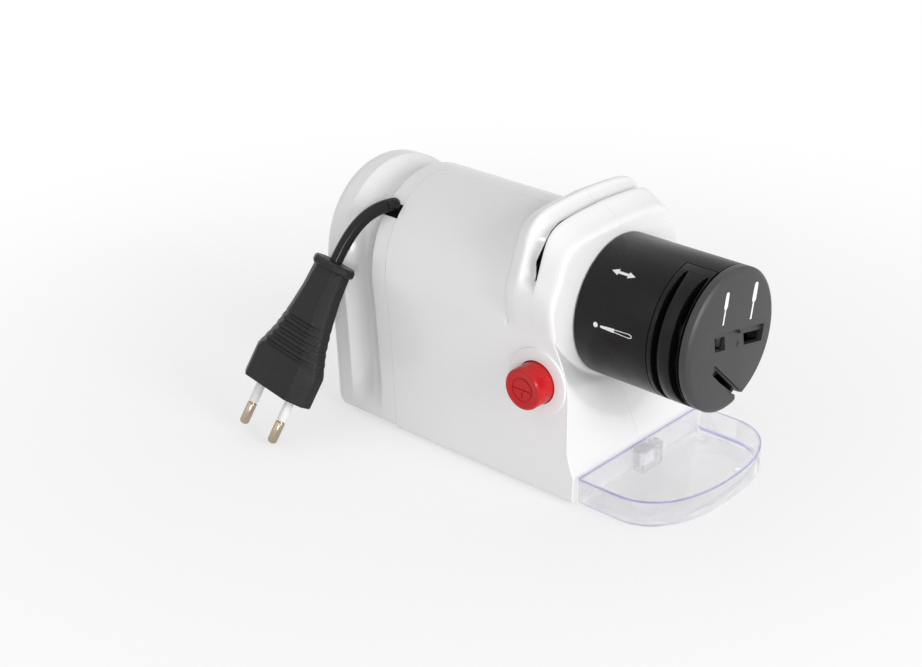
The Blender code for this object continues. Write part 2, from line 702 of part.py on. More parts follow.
def housing_half(name, side):
    """One half of the clamshell, with its bosses, holes and foot recesses."""
    obj = half_loft(name, housing_outside(), side, GAP / 2)
    if side == NEAR:
        ends = (BUTTON_X, -PAD_FACE_Y, BUTTON_Z), (BUTTON_X, -ARCH_RADIUS + SHELL_WALL / 2, BUTTON_Z)
        join(obj, add(cylinder("button_pad", PAD_RADIUS, *ends, LARGE_STEPS)))
        ends = (BUTTON_X, -BUTTON_FACE_Y, BUTTON_Z), (BUTTON_X, -BUTTON_FLANGE_Y + OVERRUN, BUTTON_Z)
        hole_radius = BUTTON_RADIUS + BUTTON_CLEARANCE
        cut(obj, add(cylinder("button_hole", hole_radius, *ends, LARGE_STEPS)))
    for label, stations in housing_hollows():
        cut(obj, add(half_loft(f"{name}_{label}_hollow", stations, side, -OVERRUN)))
    seam = side * GAP / 2
    for i, (x, z) in enumerate(HOUSING_SCREWS):
        wall = side * (side_half_width(z) - SHELL_WALL / 2)
        join(obj, add(cylinder(f"{name}_boss_{i}", BOSS_RADIUS, (x, seam, z), (x, wall, z))))
    for i, z in enumerate((AXIS_Z - NECK_SCREW_OFFSET, AXIS_Z + NECK_SCREW_OFFSET)):
        y = side * NECK_SCREW_OFFSET
        ends = (-NOSE_WALL - NECK_BOSS, y, z), (-NOSE_WALL / 2, y, z)
        join(obj, add(cylinder(f"{name}_neck_boss_{i}", NECK_BOSS_RADIUS, *ends)))
        ends = (-NOSE_WALL - NECK_BOSS - OVERRUN, y, z), (OVERRUN, y, z)
        cut(obj, add(cylinder(f"{name}_neck_hole_{i}", NECK_SCREW_RADIUS + GAP, *ends)))
    cover_boss_end = seam_x(COVER_SCREW_Z - BOSS_RADIUS)
    y = side * COVER_SCREW_Y
    ends = (cover_boss_end, y, COVER_SCREW_Z), (REAR_BULKHEAD_X - BULKHEAD_WALL / 2, y, COVER_SCREW_Z)
    join(obj, add(cylinder(f"{name}_cover_boss", BOSS_RADIUS, *ends)))
    ends = (cover_boss_end - OVERRUN, y, COVER_SCREW_Z), (REAR_BULKHEAD_X + OVERRUN, y, COVER_SCREW_Z)
    cut(obj, add(cylinder(f"{name}_cover_hole", SCREW_RADIUS + GAP, *ends)))
    for label, x in (("front", FOOT_X_FRONT), ("rear", FOOT_X_REAR)):
        ends = (x, side * FOOT_Y, -OVERRUN), (x, side * FOOT_Y, FOOT_HEIGHT + GAP)
        cut(obj, add(cylinder(f"{name}_{label}_foot", FOOT_RADIUS + GAP, *ends, MEDIUM_STEPS)))
    holes = {
        "tail": (MOTOR_RADIUS, REAR_BULKHEAD_X - BULKHEAD_WALL, REAR_BULKHEAD_X),
        "bearing": (BEARING_RADIUS, FRONT_BULKHEAD_X - BULKHEAD_WALL, FRONT_BULKHEAD_X),
        "neck": (BUSH_RADIUS, -NOSE_WALL, 0.0),
    }
    for label, (radius, start, end) in holes.items():
        ends = (start - OVERRUN, 0.0, AXIS_Z), (end + OVERRUN, 0.0, AXIS_Z)
        cut(obj, add(cylinder(f"{name}_{label}_hole", radius + GAP, *ends, LARGE_STEPS)))
    y = side * MOTOR_SCREW_Y
    ends = (MOTOR_FRONT_X - OVERRUN, y, AXIS_Z), (FRONT_BULKHEAD_X + OVERRUN, y, AXIS_Z)
    cut(obj, add(cylinder(f"{name}_motor_screw_hole", SCREW_RADIUS + GAP, *ends)))
    low = (GROOVE_X - KERF_WIDTH / 2, -HEAD_HALF_WIDTH - OVERRUN, KERF_FLOOR_Z)
    high = (GROOVE_X + KERF_WIDTH / 2, HEAD_HALF_WIDTH + OVERRUN, REAR_FIN_Z + OVERRUN)
    cut(obj, add(box(f"{name}_kerf", low, high)))
    return obj


near = housing_half("housing_near", NEAR)
far = housing_half("housing_far", FAR)

# Near half: the shelf of the switch, and pilot holes
shelf_top = BUTTON_Z - SWITCH_HEIGHT / 2 - GAP
lip_y = -SWITCH_REAR_Y + GAP
switch_end = SWITCH_X + SWITCH_WIDTH / 2
low = (FRONT_BULKHEAD_X - BULKHEAD_WALL / 2, -SWITCH_FRONT_Y, shelf_top - SHELF_THICKNESS)
shelf = box("switch_shelf", low, (switch_end, lip_y + SHELF_LIP, shelf_top))
low = (switch_end - SWITCH_WIDTH, lip_y, shelf_top - SHELF_THICKNESS / 2)
high = (switch_end - GAP, lip_y + SHELF_LIP - GAP, shelf_top + SHELF_LIP_HEIGHT)
join(shelf, add(box("switch_lip", low, high)))
join(near, add(shelf))
for i, (x, z) in enumerate(HOUSING_SCREWS):
    ends = (x, OVERRUN, z), (x, -HOUSING_SCREW_DEPTH - OVERRUN, z)
    cut(near, add(cylinder(f"near_pilot_{i}", SCREW_RADIUS + GAP, *ends)))
    ends = (x, -OVERRUN, z), (x, HOUSING_SCREW_SEAT + OVERRUN, z)
    cut(far, add(cylinder(f"far_clearance_{i}", SCREW_RADIUS + GAP, *ends)))
    ends = (x, HOUSING_SCREW_SEAT, z), (x, BASE_HALF_WIDTH + OVERRUN, z)
    cut(far, add(cylinder(f"far_counterbore_{i}", SCREW_HEAD_RADIUS + GAP, *ends)))

# The tongue that the tray hooks on, split like the rest of the nose
for obj, side in ((near, NEAR), (far, FAR)):
    ys = sorted((side * GAP / 2, side * TONGUE_HALF_WIDTH))
    low = (LIP_X - SHELL_WALL / 2, ys[0], TONGUE_LOW_Z)
    join(obj, add(box(f"{obj.name}_tongue", low, (LIP_X + TONGUE_LENGTH, ys[1], TONGUE_HIGH_Z))))

add(near, WHITE, 0.28)
add(far, WHITE, 0.28)

# Screws through the far half, and the feet


def screw(name, place, direction, radius, head_radius, head_height, length):
    """A screw whose head seats at a place, with its shank along a direction."""
    outline = [
        (-head_height, 0.0),
        (-head_height, head_radius),
        (0.0, head_radius),
        (0.0, radius),
        (length, radius),
        (length, 0.0),
    ]
    turn = Vector(direction).to_track_quat("X", "Z").to_euler()
    return add(turned(name, outline, SMALL_STEPS, place, turn), STEEL, 0.35, 1.0)


for i, (x, z) in enumerate(HOUSING_SCREWS):
    place = (x, HOUSING_SCREW_SEAT + GAP, z)
    length = HOUSING_SCREW_SEAT + HOUSING_SCREW_DEPTH
    screw(f"housing_screw_{i + 1}", place, (0, -1, 0), SCREW_RADIUS, SCREW_HEAD_RADIUS, SCREW_HEAD, length)

for label, x in (("front", FOOT_X_FRONT), ("rear", FOOT_X_REAR)):
    for side_label, side in (("near", NEAR), ("far", FAR)):
        ends = (x, side * FOOT_Y, 0.0), (x, side * FOOT_Y, FOOT_HEIGHT)
        foot = cylinder(f"foot_{label}_{side_label}", FOOT_RADIUS, *ends, MEDIUM_STEPS)
        add(foot, BLACK, 0.8)

# Rear cover


def round_off(depth):
    """How far the rear edge's rounding has drawn the outline in."""
    into = max(depth - (COVER_DEPTH - COVER_ROUND), 0.0)
    return COVER_ROUND - math.sqrt(COVER_ROUND**2 - min(into, COVER_ROUND) ** 2)


def waist(depth):
    """How deep the waisted groove is, at a distance behind the seam."""
    share = (depth - COVER_RING) / WAIST_LENGTH
    return WAIST_DEPTH * math.sin(math.pi * share) if 0 < share < 1 else 0.0


def waisted(points, depth):
    """An outline drawn in by the waist, which fades out near the floor."""
    made = []
    for y, z in points:
        fade = min(max((z - WAIST_FLOOR_Z) / WAIST_FADE, 0.0), 1.0)
        drawn = waist(depth) * fade * fade * (3 - 2 * fade)
        if z < ARCH_Z:
            made.append((max(y - drawn, 0.0) if y else 0.0, z))
        else:
            scale = 1 - drawn / math.hypot(y, z - ARCH_Z)
            made.append((y * scale, ARCH_Z + (z - ARCH_Z) * scale))
    return made


def cover_ring(depth, inset):
    """A whole outline of the cover, both sides, at a distance behind the seam."""
    inset = inset + round_off(depth)
    points = side_points(SHOULDER_Z, inset, FLOOR_Z + COVER_LIFT) + arch_points(inset)
    points = waisted(points, depth)
    points += [(-y, z) for y, z in points[-2:0:-1]]
    return [(seam_x(z) - depth, y, z) for y, z in points]


waist_depths = [COVER_RING + WAIST_LENGTH * share for share in WAIST_SHARES]
round_start = COVER_DEPTH - COVER_ROUND
depths = [GAP] + waist_depths + [round_start + COVER_ROUND * share for share in ROUND_SHARES]
cover = loft("rear_cover", [cover_ring(depth, 0.0) for depth in depths])
inner_depths = [-OVERRUN] + waist_depths + [round_start, COVER_DEPTH - SHELL_WALL]
hollow = loft("cover_hollow", [cover_ring(depth, SHELL_WALL) for depth in inner_depths])
cut(cover, add(hollow))

post_front = seam_x(COVER_SCREW_Z - BOSS_RADIUS) - GAP
post_rear = seam_x(COVER_SCREW_Z) - COVER_DEPTH + SHELL_WALL / 2
seat_x = post_front - COVER_SCREW_SEAT
for label, side in (("near", NEAR), ("far", FAR)):
    y = side * COVER_SCREW_Y
    ends = (post_rear, y, COVER_SCREW_Z), (post_front, y, COVER_SCREW_Z)
    join(cover, add(cylinder(f"cover_post_{label}", BOSS_RADIUS, *ends)))
    ends = (seat_x - OVERRUN, y, COVER_SCREW_Z), (post_front + OVERRUN, y, COVER_SCREW_Z)
    cut(cover, add(cylinder(f"cover_clearance_{label}", SCREW_RADIUS + GAP, *ends)))
    ends = (COVER_REAR_X - COVER_ROUND, y, COVER_SCREW_Z), (seat_x, y, COVER_SCREW_Z)
    cut(cover, add(cylinder(f"cover_counterbore_{label}", SCREW_HEAD_RADIUS + GAP, *ends)))
    place = (seat_x - GAP, y, COVER_SCREW_Z)
    length = COVER_SCREW_LENGTH
    screw(f"cover_screw_{label}", place, (1, 0, 0), SCREW_RADIUS, SCREW_HEAD_RADIUS, SCREW_HEAD, length)
for i in range(VENTS):
    y = (i - (VENTS - 1) / 2) * VENT_PITCH
    rear = seam_x(VENT_HIGH_Z) - COVER_DEPTH
    low = (rear - OVERRUN, y - VENT_WIDTH / 2, VENT_LOW_Z)
    high = (seam_x(VENT_LOW_Z) - COVER_DEPTH + SHELL_WALL + OVERRUN, y + VENT_WIDTH / 2, VENT_HIGH_Z)
    cut(cover, add(box(f"vent_{i}", low, high)))

# Gland in the notch. Its local Z is the surface's normal, its local X is the object's
gland_normal = Vector((0.0, -math.sin(GLAND_ANGLE), math.cos(GLAND_ANGLE)))
gland_surface = Vector((0.0, 0.0, ARCH_Z)) + gland_normal * ARCH_RADIUS
notch_front = seam_x(gland_surface.z) - GAP
gland_x = notch_front - GLAND_NOTCH_LENGTH / 2


def on_arch(name, low, high):
    """A box on the arch at the notch, from depths below the surface."""
    obj = box(name, low, high, GLAND_ANGLE)
    middle = (Vector(low) + Vector(high)) / 2
    tangent = Vector((0.0, math.cos(GLAND_ANGLE), math.sin(GLAND_ANGLE)))
    base = Vector((gland_x, gland_surface.y, gland_surface.z))
    obj.location = base + Vector((middle.x, 0.0, 0.0)) + tangent * middle.y + gland_normal * middle.z
    return obj


half_length = GLAND_NOTCH_LENGTH / 2
half_width = GLAND_NOTCH_WIDTH / 2
low = (-half_length, -half_width, -GLAND_DEPTH - GLAND_FLANGE)
notch = on_arch("cord_notch", low, (half_length + SEAM_LEAN * ARCH_RADIUS, half_width, OVERRUN * 3))
cut(cover, add(notch))
front_clear = half_length - SEAM_LEAN * GLAND_FLANGE_HALF_WIDTH - GAP
low = (-half_length + GAP, -half_width + GAP, -GLAND_DEPTH)
gland = on_arch("cord_gland", low, (front_clear, half_width - GAP, -GLAND_SUNK))
flange_top = -SHELL_WALL - GLAND_SEAT
low = (-half_length + GLAND_SEAT, -GLAND_FLANGE_HALF_WIDTH, flange_top - GLAND_FLANGE)
high = (front_clear, GLAND_FLANGE_HALF_WIDTH, flange_top)
join(gland, add(on_arch("gland_flange", low, high)))
low = (-half_length + CORD_RADIUS + GLAND_STUB, 0.0, -GLAND_DEPTH)
join(gland, add(on_arch("gland_neck", low, (front_clear - GAP, half_width - GAP, GLAND_NECK))))
stub_start = CORD_EXIT - CORD_EXIT_DIRECTION * (GLAND_STUB + GAP)


def stub(name, radius, length):
    """The gland's round-ended nose, which the cord comes out of."""
    outline = [(length, 0.0), (length, radius)]
    for i in range(4):
        angle = math.radians(90) * i / 4
        outline.append((-radius * math.sin(angle), radius * math.cos(angle)))
    outline.append((-radius, 0.0))
    turn = CORD_EXIT_DIRECTION.to_track_quat("X", "Z").to_euler()
    return turned(name, outline, SMALL_STEPS, stub_start, turn)


join(gland, add(stub("gland_stub", CORD_RADIUS, GLAND_STUB)))
cut(cover, add(stub("cord_channel", CORD_RADIUS + GAP, GLAND_NOTCH_LENGTH)))
add(cover, WHITE, 0.28)
add(gland, BLACK, 0.6)

# Plug, in its own frame
plug_side_direction = PLUG_PIN_DIRECTION.cross(PLUG_WIDTH_DIRECTION).normalized()
plug_across = plug_side_direction.cross(PLUG_PIN_DIRECTION)
plug_turn = Matrix((plug_across, plug_side_direction, PLUG_PIN_DIRECTION)).transposed()
plug = bpy.data.objects.new("plug_frame", None)
model.objects.link(plug)
plug.location = PLUG_FACE
plug.rotation_euler = plug_turn.to_euler()


def plug_ring(z, half, flat, thick, ridge=PLUG_RIDGE_FLAT):
    """The plug's eight-cornered section at a distance behind its face."""
    quarter = [(half, ridge), (flat, thick)]
    points = quarter + [(-x, y) for x, y in quarter[::-1]]
    return [(x, y, -z) for x, y in points] + [(-x, -y, -z) for x, y in points]


neck_z = PLUG_LENGTH - COLLAR_THICKNESS
rings = [
    plug_ring(
        neck_z * length / PLUG_LENGTH_SHARES[-1],
        PLUG_HALF_WIDTH * width,
        PLUG_FLAT_HALF_WIDTH * flat,
        PLUG_HALF_THICKNESS * thick,
    )
    for length, width, flat, thick in zip(
        PLUG_LENGTH_SHARES, PLUG_WIDTH_SHARES, PLUG_FLAT_SHARES, PLUG_THICKNESS_SHARES
    )
]
for z in (neck_z, PLUG_LENGTH):
    collar_flat = COLLAR_HALF_WIDTH - COLLAR_HALF_THICKNESS
    rings.append(plug_ring(z, COLLAR_HALF_WIDTH, collar_flat, COLLAR_HALF_THICKNESS, collar_flat))
body = loft("plug_body", rings)
up_z = (0.0, math.radians(-90), 0.0)
for i, side in enumerate((-1, 1)):
    place = (side * PIN_SPACING / 2, 0.0, 0.0)
    hole = turned(f"plug_hole_{i}", [(-PIN_ROOT - GAP, 0.0), (-PIN_ROOT - GAP, PIN_ROOT_RADIUS + GAP),
                  (OVERRUN, PIN_ROOT_RADIUS + GAP), (OVERRUN, 0.0)], SMALL_STEPS, place, up_z)
    cut(body, add(hole, parent=plug))
    tip = PIN_RADIUS / 3
    pin_outline = [
        (-PIN_ROOT, 0.0),
        (-PIN_ROOT, PIN_ROOT_RADIUS),
        (SLEEVE_LENGTH + GAP * 2, PIN_ROOT_RADIUS),
        (SLEEVE_LENGTH + GAP * 2, PIN_RADIUS),
        (PIN_LENGTH - tip, PIN_RADIUS),
        (PIN_LENGTH, PIN_RADIUS - tip),
        (PIN_LENGTH, 0.0),
    ]
    pin = turned(f"plug_pin_{i + 1}", pin_outline, SMALL_STEPS, place, up_z)
    add(pin, STEEL, 0.2, 1.0, parent=plug)
    sleeve_outline = tube(SLEEVE_RADIUS, PIN_ROOT_RADIUS + GAP / 2, GAP, SLEEVE_LENGTH + GAP)
    sleeve = turned(f"plug_sleeve_{i + 1}", sleeve_outline, SMALL_STEPS, place, up_z)
    add(sleeve, WHITE, 0.4, parent=plug)
add(body, BLACK, 0.55, parent=plug)

# Mains lead from the gland's elbow to the plug's collar
cord_end = PLUG_FACE - PLUG_PIN_DIRECTION * (PLUG_LENGTH + GAP)
route = bezier(
    CORD_EXIT,
    CORD_EXIT + CORD_EXIT_DIRECTION * CORD_EXIT_HANDLE,
    cord_end - PLUG_PIN_DIRECTION * CORD_END_HANDLE,
    cord_end,
    CORD_POINTS,
)
add(piped("power_cord", route, CORD_RADIUS), BLACK, 0.35)

# Inside the cover: the lead and the terminal block
terminal_front = REAR_BULKHEAD_X - BULKHEAD_WALL - GAP
low = (terminal_front - TERMINAL_DEPTH, TERMINAL_Y - TERMINAL_WIDTH / 2, TERMINAL_Z)
high = (terminal_front, TERMINAL_Y + TERMINAL_WIDTH / 2, TERMINAL_Z + TERMINAL_HEIGHT)
terminal = add(box("terminal_block", low, high), WHITE, 0.5)
lead_start = Vector((gland_x, gland_surface.y, gland_surface.z)) - gland_normal * (-flange_top + GLAND_FLANGE + GAP)
lead_y = -FAN_RADIUS - CORD_RADIUS * 2
lead_top = TERMINAL_Z + TERMINAL_HEIGHT + GAP
terminal_x = terminal_front - TERMINAL_DEPTH / 2
lead_stops = [
    lead_start,
    lead_start - gland_normal * LEAD_BEND / 2,
    lead_start - gland_normal * LEAD_BEND,
    Vector((lead_start.x, lead_y, AXIS_Z)),
    Vector(((lead_start.x + terminal_x) / 2, lead_y, (AXIS_Z + lead_top) / 2)),
    Vector((terminal_x, TERMINAL_Y - TERMINAL_WIDTH / 6, lead_top + LEAD_DROP)),
    Vector((terminal_x, TERMINAL_Y - TERMINAL_WIDTH / 6, lead_top + LEAD_DROP / 2)),
    Vector((terminal_x, TERMINAL_Y - TERMINAL_WIDTH / 6, lead_top)),
]
add(piped("inner_lead", through(lead_stops, 4), LEAD_RADIUS), BLACK, 0.5)

# Motor: what stands still
can_bore = MOTOR_RADIUS - MOTOR_WALL
plate_x = MOTOR_FRONT_X - MOTOR_FRONT
bearing_hole = BEARING_RADIUS + GAP
can = turned(
    "motor_can",
    [
        (MOTOR_REAR_X, can_bore),
        (MOTOR_REAR_X, MOTOR_RADIUS),
        (MOTOR_FRONT_X, MOTOR_RADIUS),
        (MOTOR_FRONT_X, bearing_hole),
        (plate_x, bearing_hole),
        (plate_x, can_bore),
    ],
    LARGE_STEPS,
)
for label, side in (("near", NEAR), ("far", FAR)):
    y = side * MOTOR_SCREW_Y
    hole = cylinder(
        f"motor_thread_{label}",
        SCREW_RADIUS + GAP,
        (plate_x - OVERRUN, y, AXIS_Z),
        (MOTOR_FRONT_X + OVERRUN, y, AXIS_Z),
    )
    cut(can, add(hole))
    length = BULKHEAD_WALL + MOTOR_FRONT
    place = (FRONT_BULKHEAD_X + GAP, y, AXIS_Z)
    screw(f"motor_screw_{label}", place, (-1, 0, 0), SCREW_RADIUS, SCREW_HEAD_RADIUS, SCREW_HEAD, length)
add(can, STEEL, 0.4, 1.0)
spigot = can_bore - GAP
commutator_x = CORE_REAR_X - GAP - WINDING_WIDTH - GAP - COMMUTATOR_WIDTH
brush_x = commutator_x + COMMUTATOR_WIDTH / 2 - BRUSH_WIDTH / 2
spigot_end = brush_x + BRUSH_WIDTH + GAP
bell = turned(
    "motor_end_bell",
    [
        (BELL_REAR_X, bearing_hole),
        (BELL_REAR_X, MOTOR_RADIUS),
        (MOTOR_REAR_X - GAP, MOTOR_RADIUS),
        (MOTOR_REAR_X - GAP, spigot),
        (spigot_end, spigot),
        (spigot_end, spigot - MOTOR_WALL),
        (MOTOR_REAR_X - GAP, spigot - MOTOR_WALL),
        (MOTOR_REAR_X - GAP, bearing_hole),
    ],
    LARGE_STEPS,
)
add(bell, BLACK, 0.5)
bearing_bore = SHAFT_RADIUS + RUNNING_GAP
for label, start in (("front", plate_x + GAP), ("rear", BELL_REAR_X + GAP)):
    outline = tube(BEARING_RADIUS, bearing_bore, start, start + BEARING_WIDTH)
    add(turned(f"bearing_{label}", outline), STEEL, 0.3, 1.0)
for label, side in (("near", NEAR), ("far", FAR)):
    ys = sorted((side * (COMMUTATOR_RADIUS + GAP), side * (spigot - MOTOR_WALL - GAP * 2)))
    low = (brush_x, ys[0], AXIS_Z - BRUSH_WIDTH / 2)
    high = (brush_x + BRUSH_WIDTH, ys[1], AXIS_Z + BRUSH_WIDTH / 2)
    add(box(f"brush_{label}", low, high), (0.03, 0.03, 0.03), 0.7)
    start = (math.pi - MAGNET_ANGLE) / 2 + (0.0 if side == NEAR else math.pi)
    outline = tube(spigot, spigot - MAGNET_THICKNESS, spigot_end + MAGNET_MARGIN, plate_x - MAGNET_MARGIN)
    magnet = sector(f"magnet_{label}", outline, start, start + MAGNET_ANGLE, 12)
    magnet.location = AXIS
    add(magnet, (0.07, 0.07, 0.08), 0.6)

# Motor: what turns, with both grinding wheels
shaft_outline = [
    (SHAFT_REAR_X, 0.0),
    (SHAFT_REAR_X, SHAFT_RADIUS),
    (SPINDLE_SHOULDER_X, SHAFT_RADIUS),
    (SPINDLE_SHOULDER_X, SPINDLE_RADIUS),
    (SPINDLE_FRONT_X, SPINDLE_RADIUS),
    (SPINDLE_FRONT_X, 0.0),
]
add(turned("motor_shaft", shaft_outline), STEEL, 0.25, 1.0)
on_shaft = SHAFT_RADIUS + GAP
on_spindle = SPINDLE_RADIUS + GAP
core_front = plate_x - GAP - WINDING_WIDTH - GAP
add(turned("armature_core", tube(CORE_RADIUS, on_shaft, CORE_REAR_X, core_front)), STEEL, 0.5, 1.0)
copper = (0.60, 0.25, 0.10)
for label, start in (("front", core_front + GAP), ("rear", CORE_REAR_X - GAP - WINDING_WIDTH)):
    outline = tube(WINDING_RADIUS, on_shaft, start, start + WINDING_WIDTH)
    add(turned(f"winding_{label}", outline), copper, 0.4, 1.0)
outline = tube(COMMUTATOR_RADIUS, on_shaft, commutator_x, commutator_x + COMMUTATOR_WIDTH)
add(turned("commutator", outline), copper, 0.3, 1.0)

fan_rear = SHAFT_REAR_X + FAN_DISC
fan_front = fan_rear + FAN_WIDTH
fan = turned(
    "cooling_fan",
    [
        (fan_rear, on_shaft),
        (fan_rear, FAN_HUB_RADIUS),
        (fan_front - FAN_DISC, FAN_HUB_RADIUS),
        (fan_front - FAN_DISC, FAN_RADIUS),
        (fan_front, FAN_RADIUS),
        (fan_front, on_shaft),
    ],
)
for i in range(FAN_BLADES):
    angle = 2 * math.pi * i / FAN_BLADES
    overlap = FAN_BLADE / 2
    low = (fan_rear + GAP, -FAN_BLADE / 2, FAN_HUB_RADIUS - overlap)
    high = (fan_front - FAN_DISC / 2, FAN_BLADE / 2, FAN_RADIUS - overlap)
    blade = box(f"fan_blade_{i}", low, high, angle)
    blade.location = AXIS + Matrix.Rotation(angle, 3, "X") @ blade.location
    join(fan, add(blade))
add(fan, BLACK, 0.5)

abrasive = (0.20, 0.13, 0.10)
outline = tube(HEAD_WHEEL_RADIUS, on_spindle, HEAD_WHEEL_X, HEAD_WHEEL_X + HEAD_WHEEL_WIDTH)
add(turned("head_wheel", outline, LARGE_STEPS), abrasive, 0.9)
outline = tube(SPACER_RADIUS, on_spindle, SPACER_X, DRUM_WHEEL_X - GAP)
add(turned("wheel_spacer", outline), STEEL, 0.3, 1.0)
wheel_front = DRUM_WHEEL_X + DRUM_WHEEL_WIDTH
drum_wheel = turned(
    "drum_wheel",
    [
        (DRUM_WHEEL_X, on_spindle),
        (DRUM_WHEEL_X, DRUM_WHEEL_RADIUS - WHEEL_BEVEL),
        (DRUM_WHEEL_X + WHEEL_BEVEL, DRUM_WHEEL_RADIUS),
        (wheel_front - WHEEL_BEVEL, DRUM_WHEEL_RADIUS),
        (wheel_front, DRUM_WHEEL_RADIUS - WHEEL_BEVEL),
        (wheel_front, on_spindle),
    ],
    LARGE_STEPS,
)
add(drum_wheel, abrasive, 0.9)
outline = tube(WASHER_RADIUS, on_spindle, WASHER_X, WASHER_X + WASHER_THICKNESS)
add(turned("wheel_washer", outline), STEEL, 0.3, 1.0)
nut_end = NUT_X + NUT_THICKNESS
nut = turned("wheel_nut", [(NUT_X, 0.0), (NUT_X, NUT_RADIUS), (nut_end, NUT_RADIUS), (nut_end, 0.0)], 6)
cut(nut, add(turned("nut_bore", [(x, r) for x, r in tube(on_spindle, 0.0, NUT_X - OVERRUN, nut_end + OVERRUN)])))
add(nut, STEEL, 0.3, 1.0)

# Neck: the bush in the nose, and the fixed ring that traps the turning one
bush_bore = SPACER_RADIUS + RUNNING_GAP
bush = turned(
    "neck_bush",
    [
        (-BUSH_REAR, bush_bore),
        (-BUSH_REAR, BUSH_RADIUS),
        (GAP, BUSH_RADIUS),
        (GAP, BUSH_FLANGE_RADIUS),
        (GAP + BUSH_FLANGE, BUSH_FLANGE_RADIUS),
        (GAP + BUSH_FLANGE, bush_bore),
    ],
)
add(bush, (0.45, 0.33, 0.15), 0.4, 1.0)
flange_x = NECK_LENGTH - NECK_FLANGE
neck = turned(
    "neck_ring",
    [
        (GAP, NECK_BORE_RADIUS),
        (GAP, NECK_RADIUS),
        (flange_x, NECK_RADIUS),
        (flange_x, NECK_FLANGE_RADIUS),
        (NECK_LENGTH, NECK_FLANGE_RADIUS),
        (NECK_LENGTH, NECK_BORE_RADIUS),
    ],
    LARGE_STEPS,
)
corner = [(y, z) for y in (-NECK_SCREW_OFFSET, NECK_SCREW_OFFSET) for z in (-NECK_SCREW_OFFSET, NECK_SCREW_OFFSET)]
for i, (y, z) in enumerate(corner):
    ends = (-OVERRUN, y, AXIS_Z + z), (NECK_LENGTH + OVERRUN, y, AXIS_Z + z)
    cut(neck, add(cylinder(f"neck_ring_hole_{i}", NECK_SCREW_RADIUS + GAP, *ends)))
    place = (NECK_LENGTH + GAP, y, AXIS_Z + z)
    screw(
        f"neck_screw_{i + 1}", place, (-1, 0, 0), NECK_SCREW_RADIUS, NECK_SCREW_HEAD_RADIUS,
        NECK_SCREW_HEAD, NECK_LENGTH + NOSE_WALL + NECK_BOSS - GAP,
    )
add(neck, BLACK, 0.5)

# Drum, about an empty on its axis
drum = bpy.data.objects.new("drum_axis", None)
model.objects.link(drum)
drum.location = AXIS
centre = (0.0, 0.0, 0.0)
ring_rear = GAP * 2
ring_radius = RING_RADIUS
turn_ring = turned(
    "turn_ring",
    [
        (ring_rear, NECK_RADIUS + GAP),
        (ring_rear, ring_radius),
        (NECK_LENGTH, ring_radius),
        (NECK_LENGTH, NECK_FLANGE_RADIUS + GAP),
        (flange_x - GAP, NECK_FLANGE_RADIUS + GAP),
        (flange_x - GAP, NECK_RADIUS + GAP),
    ],
    LARGE_STEPS,
    centre,
)
add(turn_ring, BLACK, 0.5, parent=drum)

shell = turned(
    "drum_shell", tube(DRUM_RADIUS, SHELL_INNER_RADIUS, DRUM_CLEARANCE, SHELL_FRONT_X), LARGE_STEPS, centre
)
window = tube(DRUM_RADIUS + OVERRUN, SHELL_INNER_RADIUS - OVERRUN, GUIDE_X, SHELL_FRONT_X + OVERRUN)
cut(shell, add(sector("guide_window", window, GUIDE_START, GUIDE_END, 24), parent=drum))
add(shell, BLACK, 0.4, parent=drum)

guide_gap = GAP / DRUM_RADIUS
guide_rear = GUIDE_X + GAP
guide = sector(
    "knife_guide",
    [
        (guide_rear, DRUM_RADIUS),
        (SHELL_FRONT_X, DRUM_RADIUS),
        (SHELL_FRONT_X, GUIDE_INNER_RADIUS),
        (guide_rear - GUIDE_FLANGE, GUIDE_INNER_RADIUS),
        (guide_rear - GUIDE_FLANGE, ring_radius),
        (guide_rear, ring_radius),
    ],
    GUIDE_START + guide_gap,
    GUIDE_END - guide_gap,
    24,
)
for label, x, width in (("rear", REAR_SLOT_X, REAR_SLOT_WIDTH), ("front", FRONT_SLOT_X, FRONT_SLOT_WIDTH)):
    outline = tube(DRUM_RADIUS + OVERRUN, GUIDE_INNER_RADIUS - OVERRUN, x, x + width)
    cut(guide, add(sector(f"{label}_slot", outline, SLOT_START, SLOT_END, 21), parent=drum))
add(guide, BLACK, 0.4, parent=drum)

spigot_inner = ring_radius - CAP_SPIGOT_WALL
cap = turned(
    "end_cap",
    [
        (DRUM_LENGTH, 0.0),
        (DRUM_LENGTH, CAP_FACE_RADIUS),
        (DRUM_LENGTH - CAP_CHAMFER, DRUM_RADIUS),
        (CAP_X, DRUM_RADIUS),
        (CAP_X, ring_radius),
        (CAP_X - CAP_SPIGOT, ring_radius),
        (CAP_X - CAP_SPIGOT, spigot_inner),
        (DRUM_LENGTH - CAP_WALL, spigot_inner),
        (DRUM_LENGTH - CAP_WALL, 0.0),
    ],
    LARGE_STEPS,
    centre,
)
relief = tube(ring_radius + GAP / 2, spigot_inner - OVERRUN, CAP_X - CAP_SPIGOT - OVERRUN, CAP_X + GAP)
cut(cap, add(sector("spigot_relief", relief, GUIDE_START - guide_gap, GUIDE_END + guide_gap, 24), parent=drum))
ports = (("small", SMALL_PORT_SHARES, SMALL_PORT_SIZE_SHARES), ("wide", WIDE_PORT_SHARES, WIDE_PORT_SIZE_SHARES))
for label, place_shares, size_shares in ports:
    place = [DRUM_RADIUS * share for share in place_shares]
    size = [DRUM_RADIUS * share for share in size_shares]
    low = (DRUM_LENGTH - CAP_WALL - OVERRUN, place[0] - size[0] / 2, place[1] - size[1] / 2)
    high = (DRUM_LENGTH + OVERRUN, place[0] + size[0] / 2, place[1] + size[1] / 2)
    cut(cap, add(box(f"{label}_port", low, high, FACE_TILT), parent=drum))
outline = [(DRUM_RADIUS * y, DRUM_RADIUS * z) for y, z in zip(NOTCH_Y_SHARES, NOTCH_Z_SHARES)]
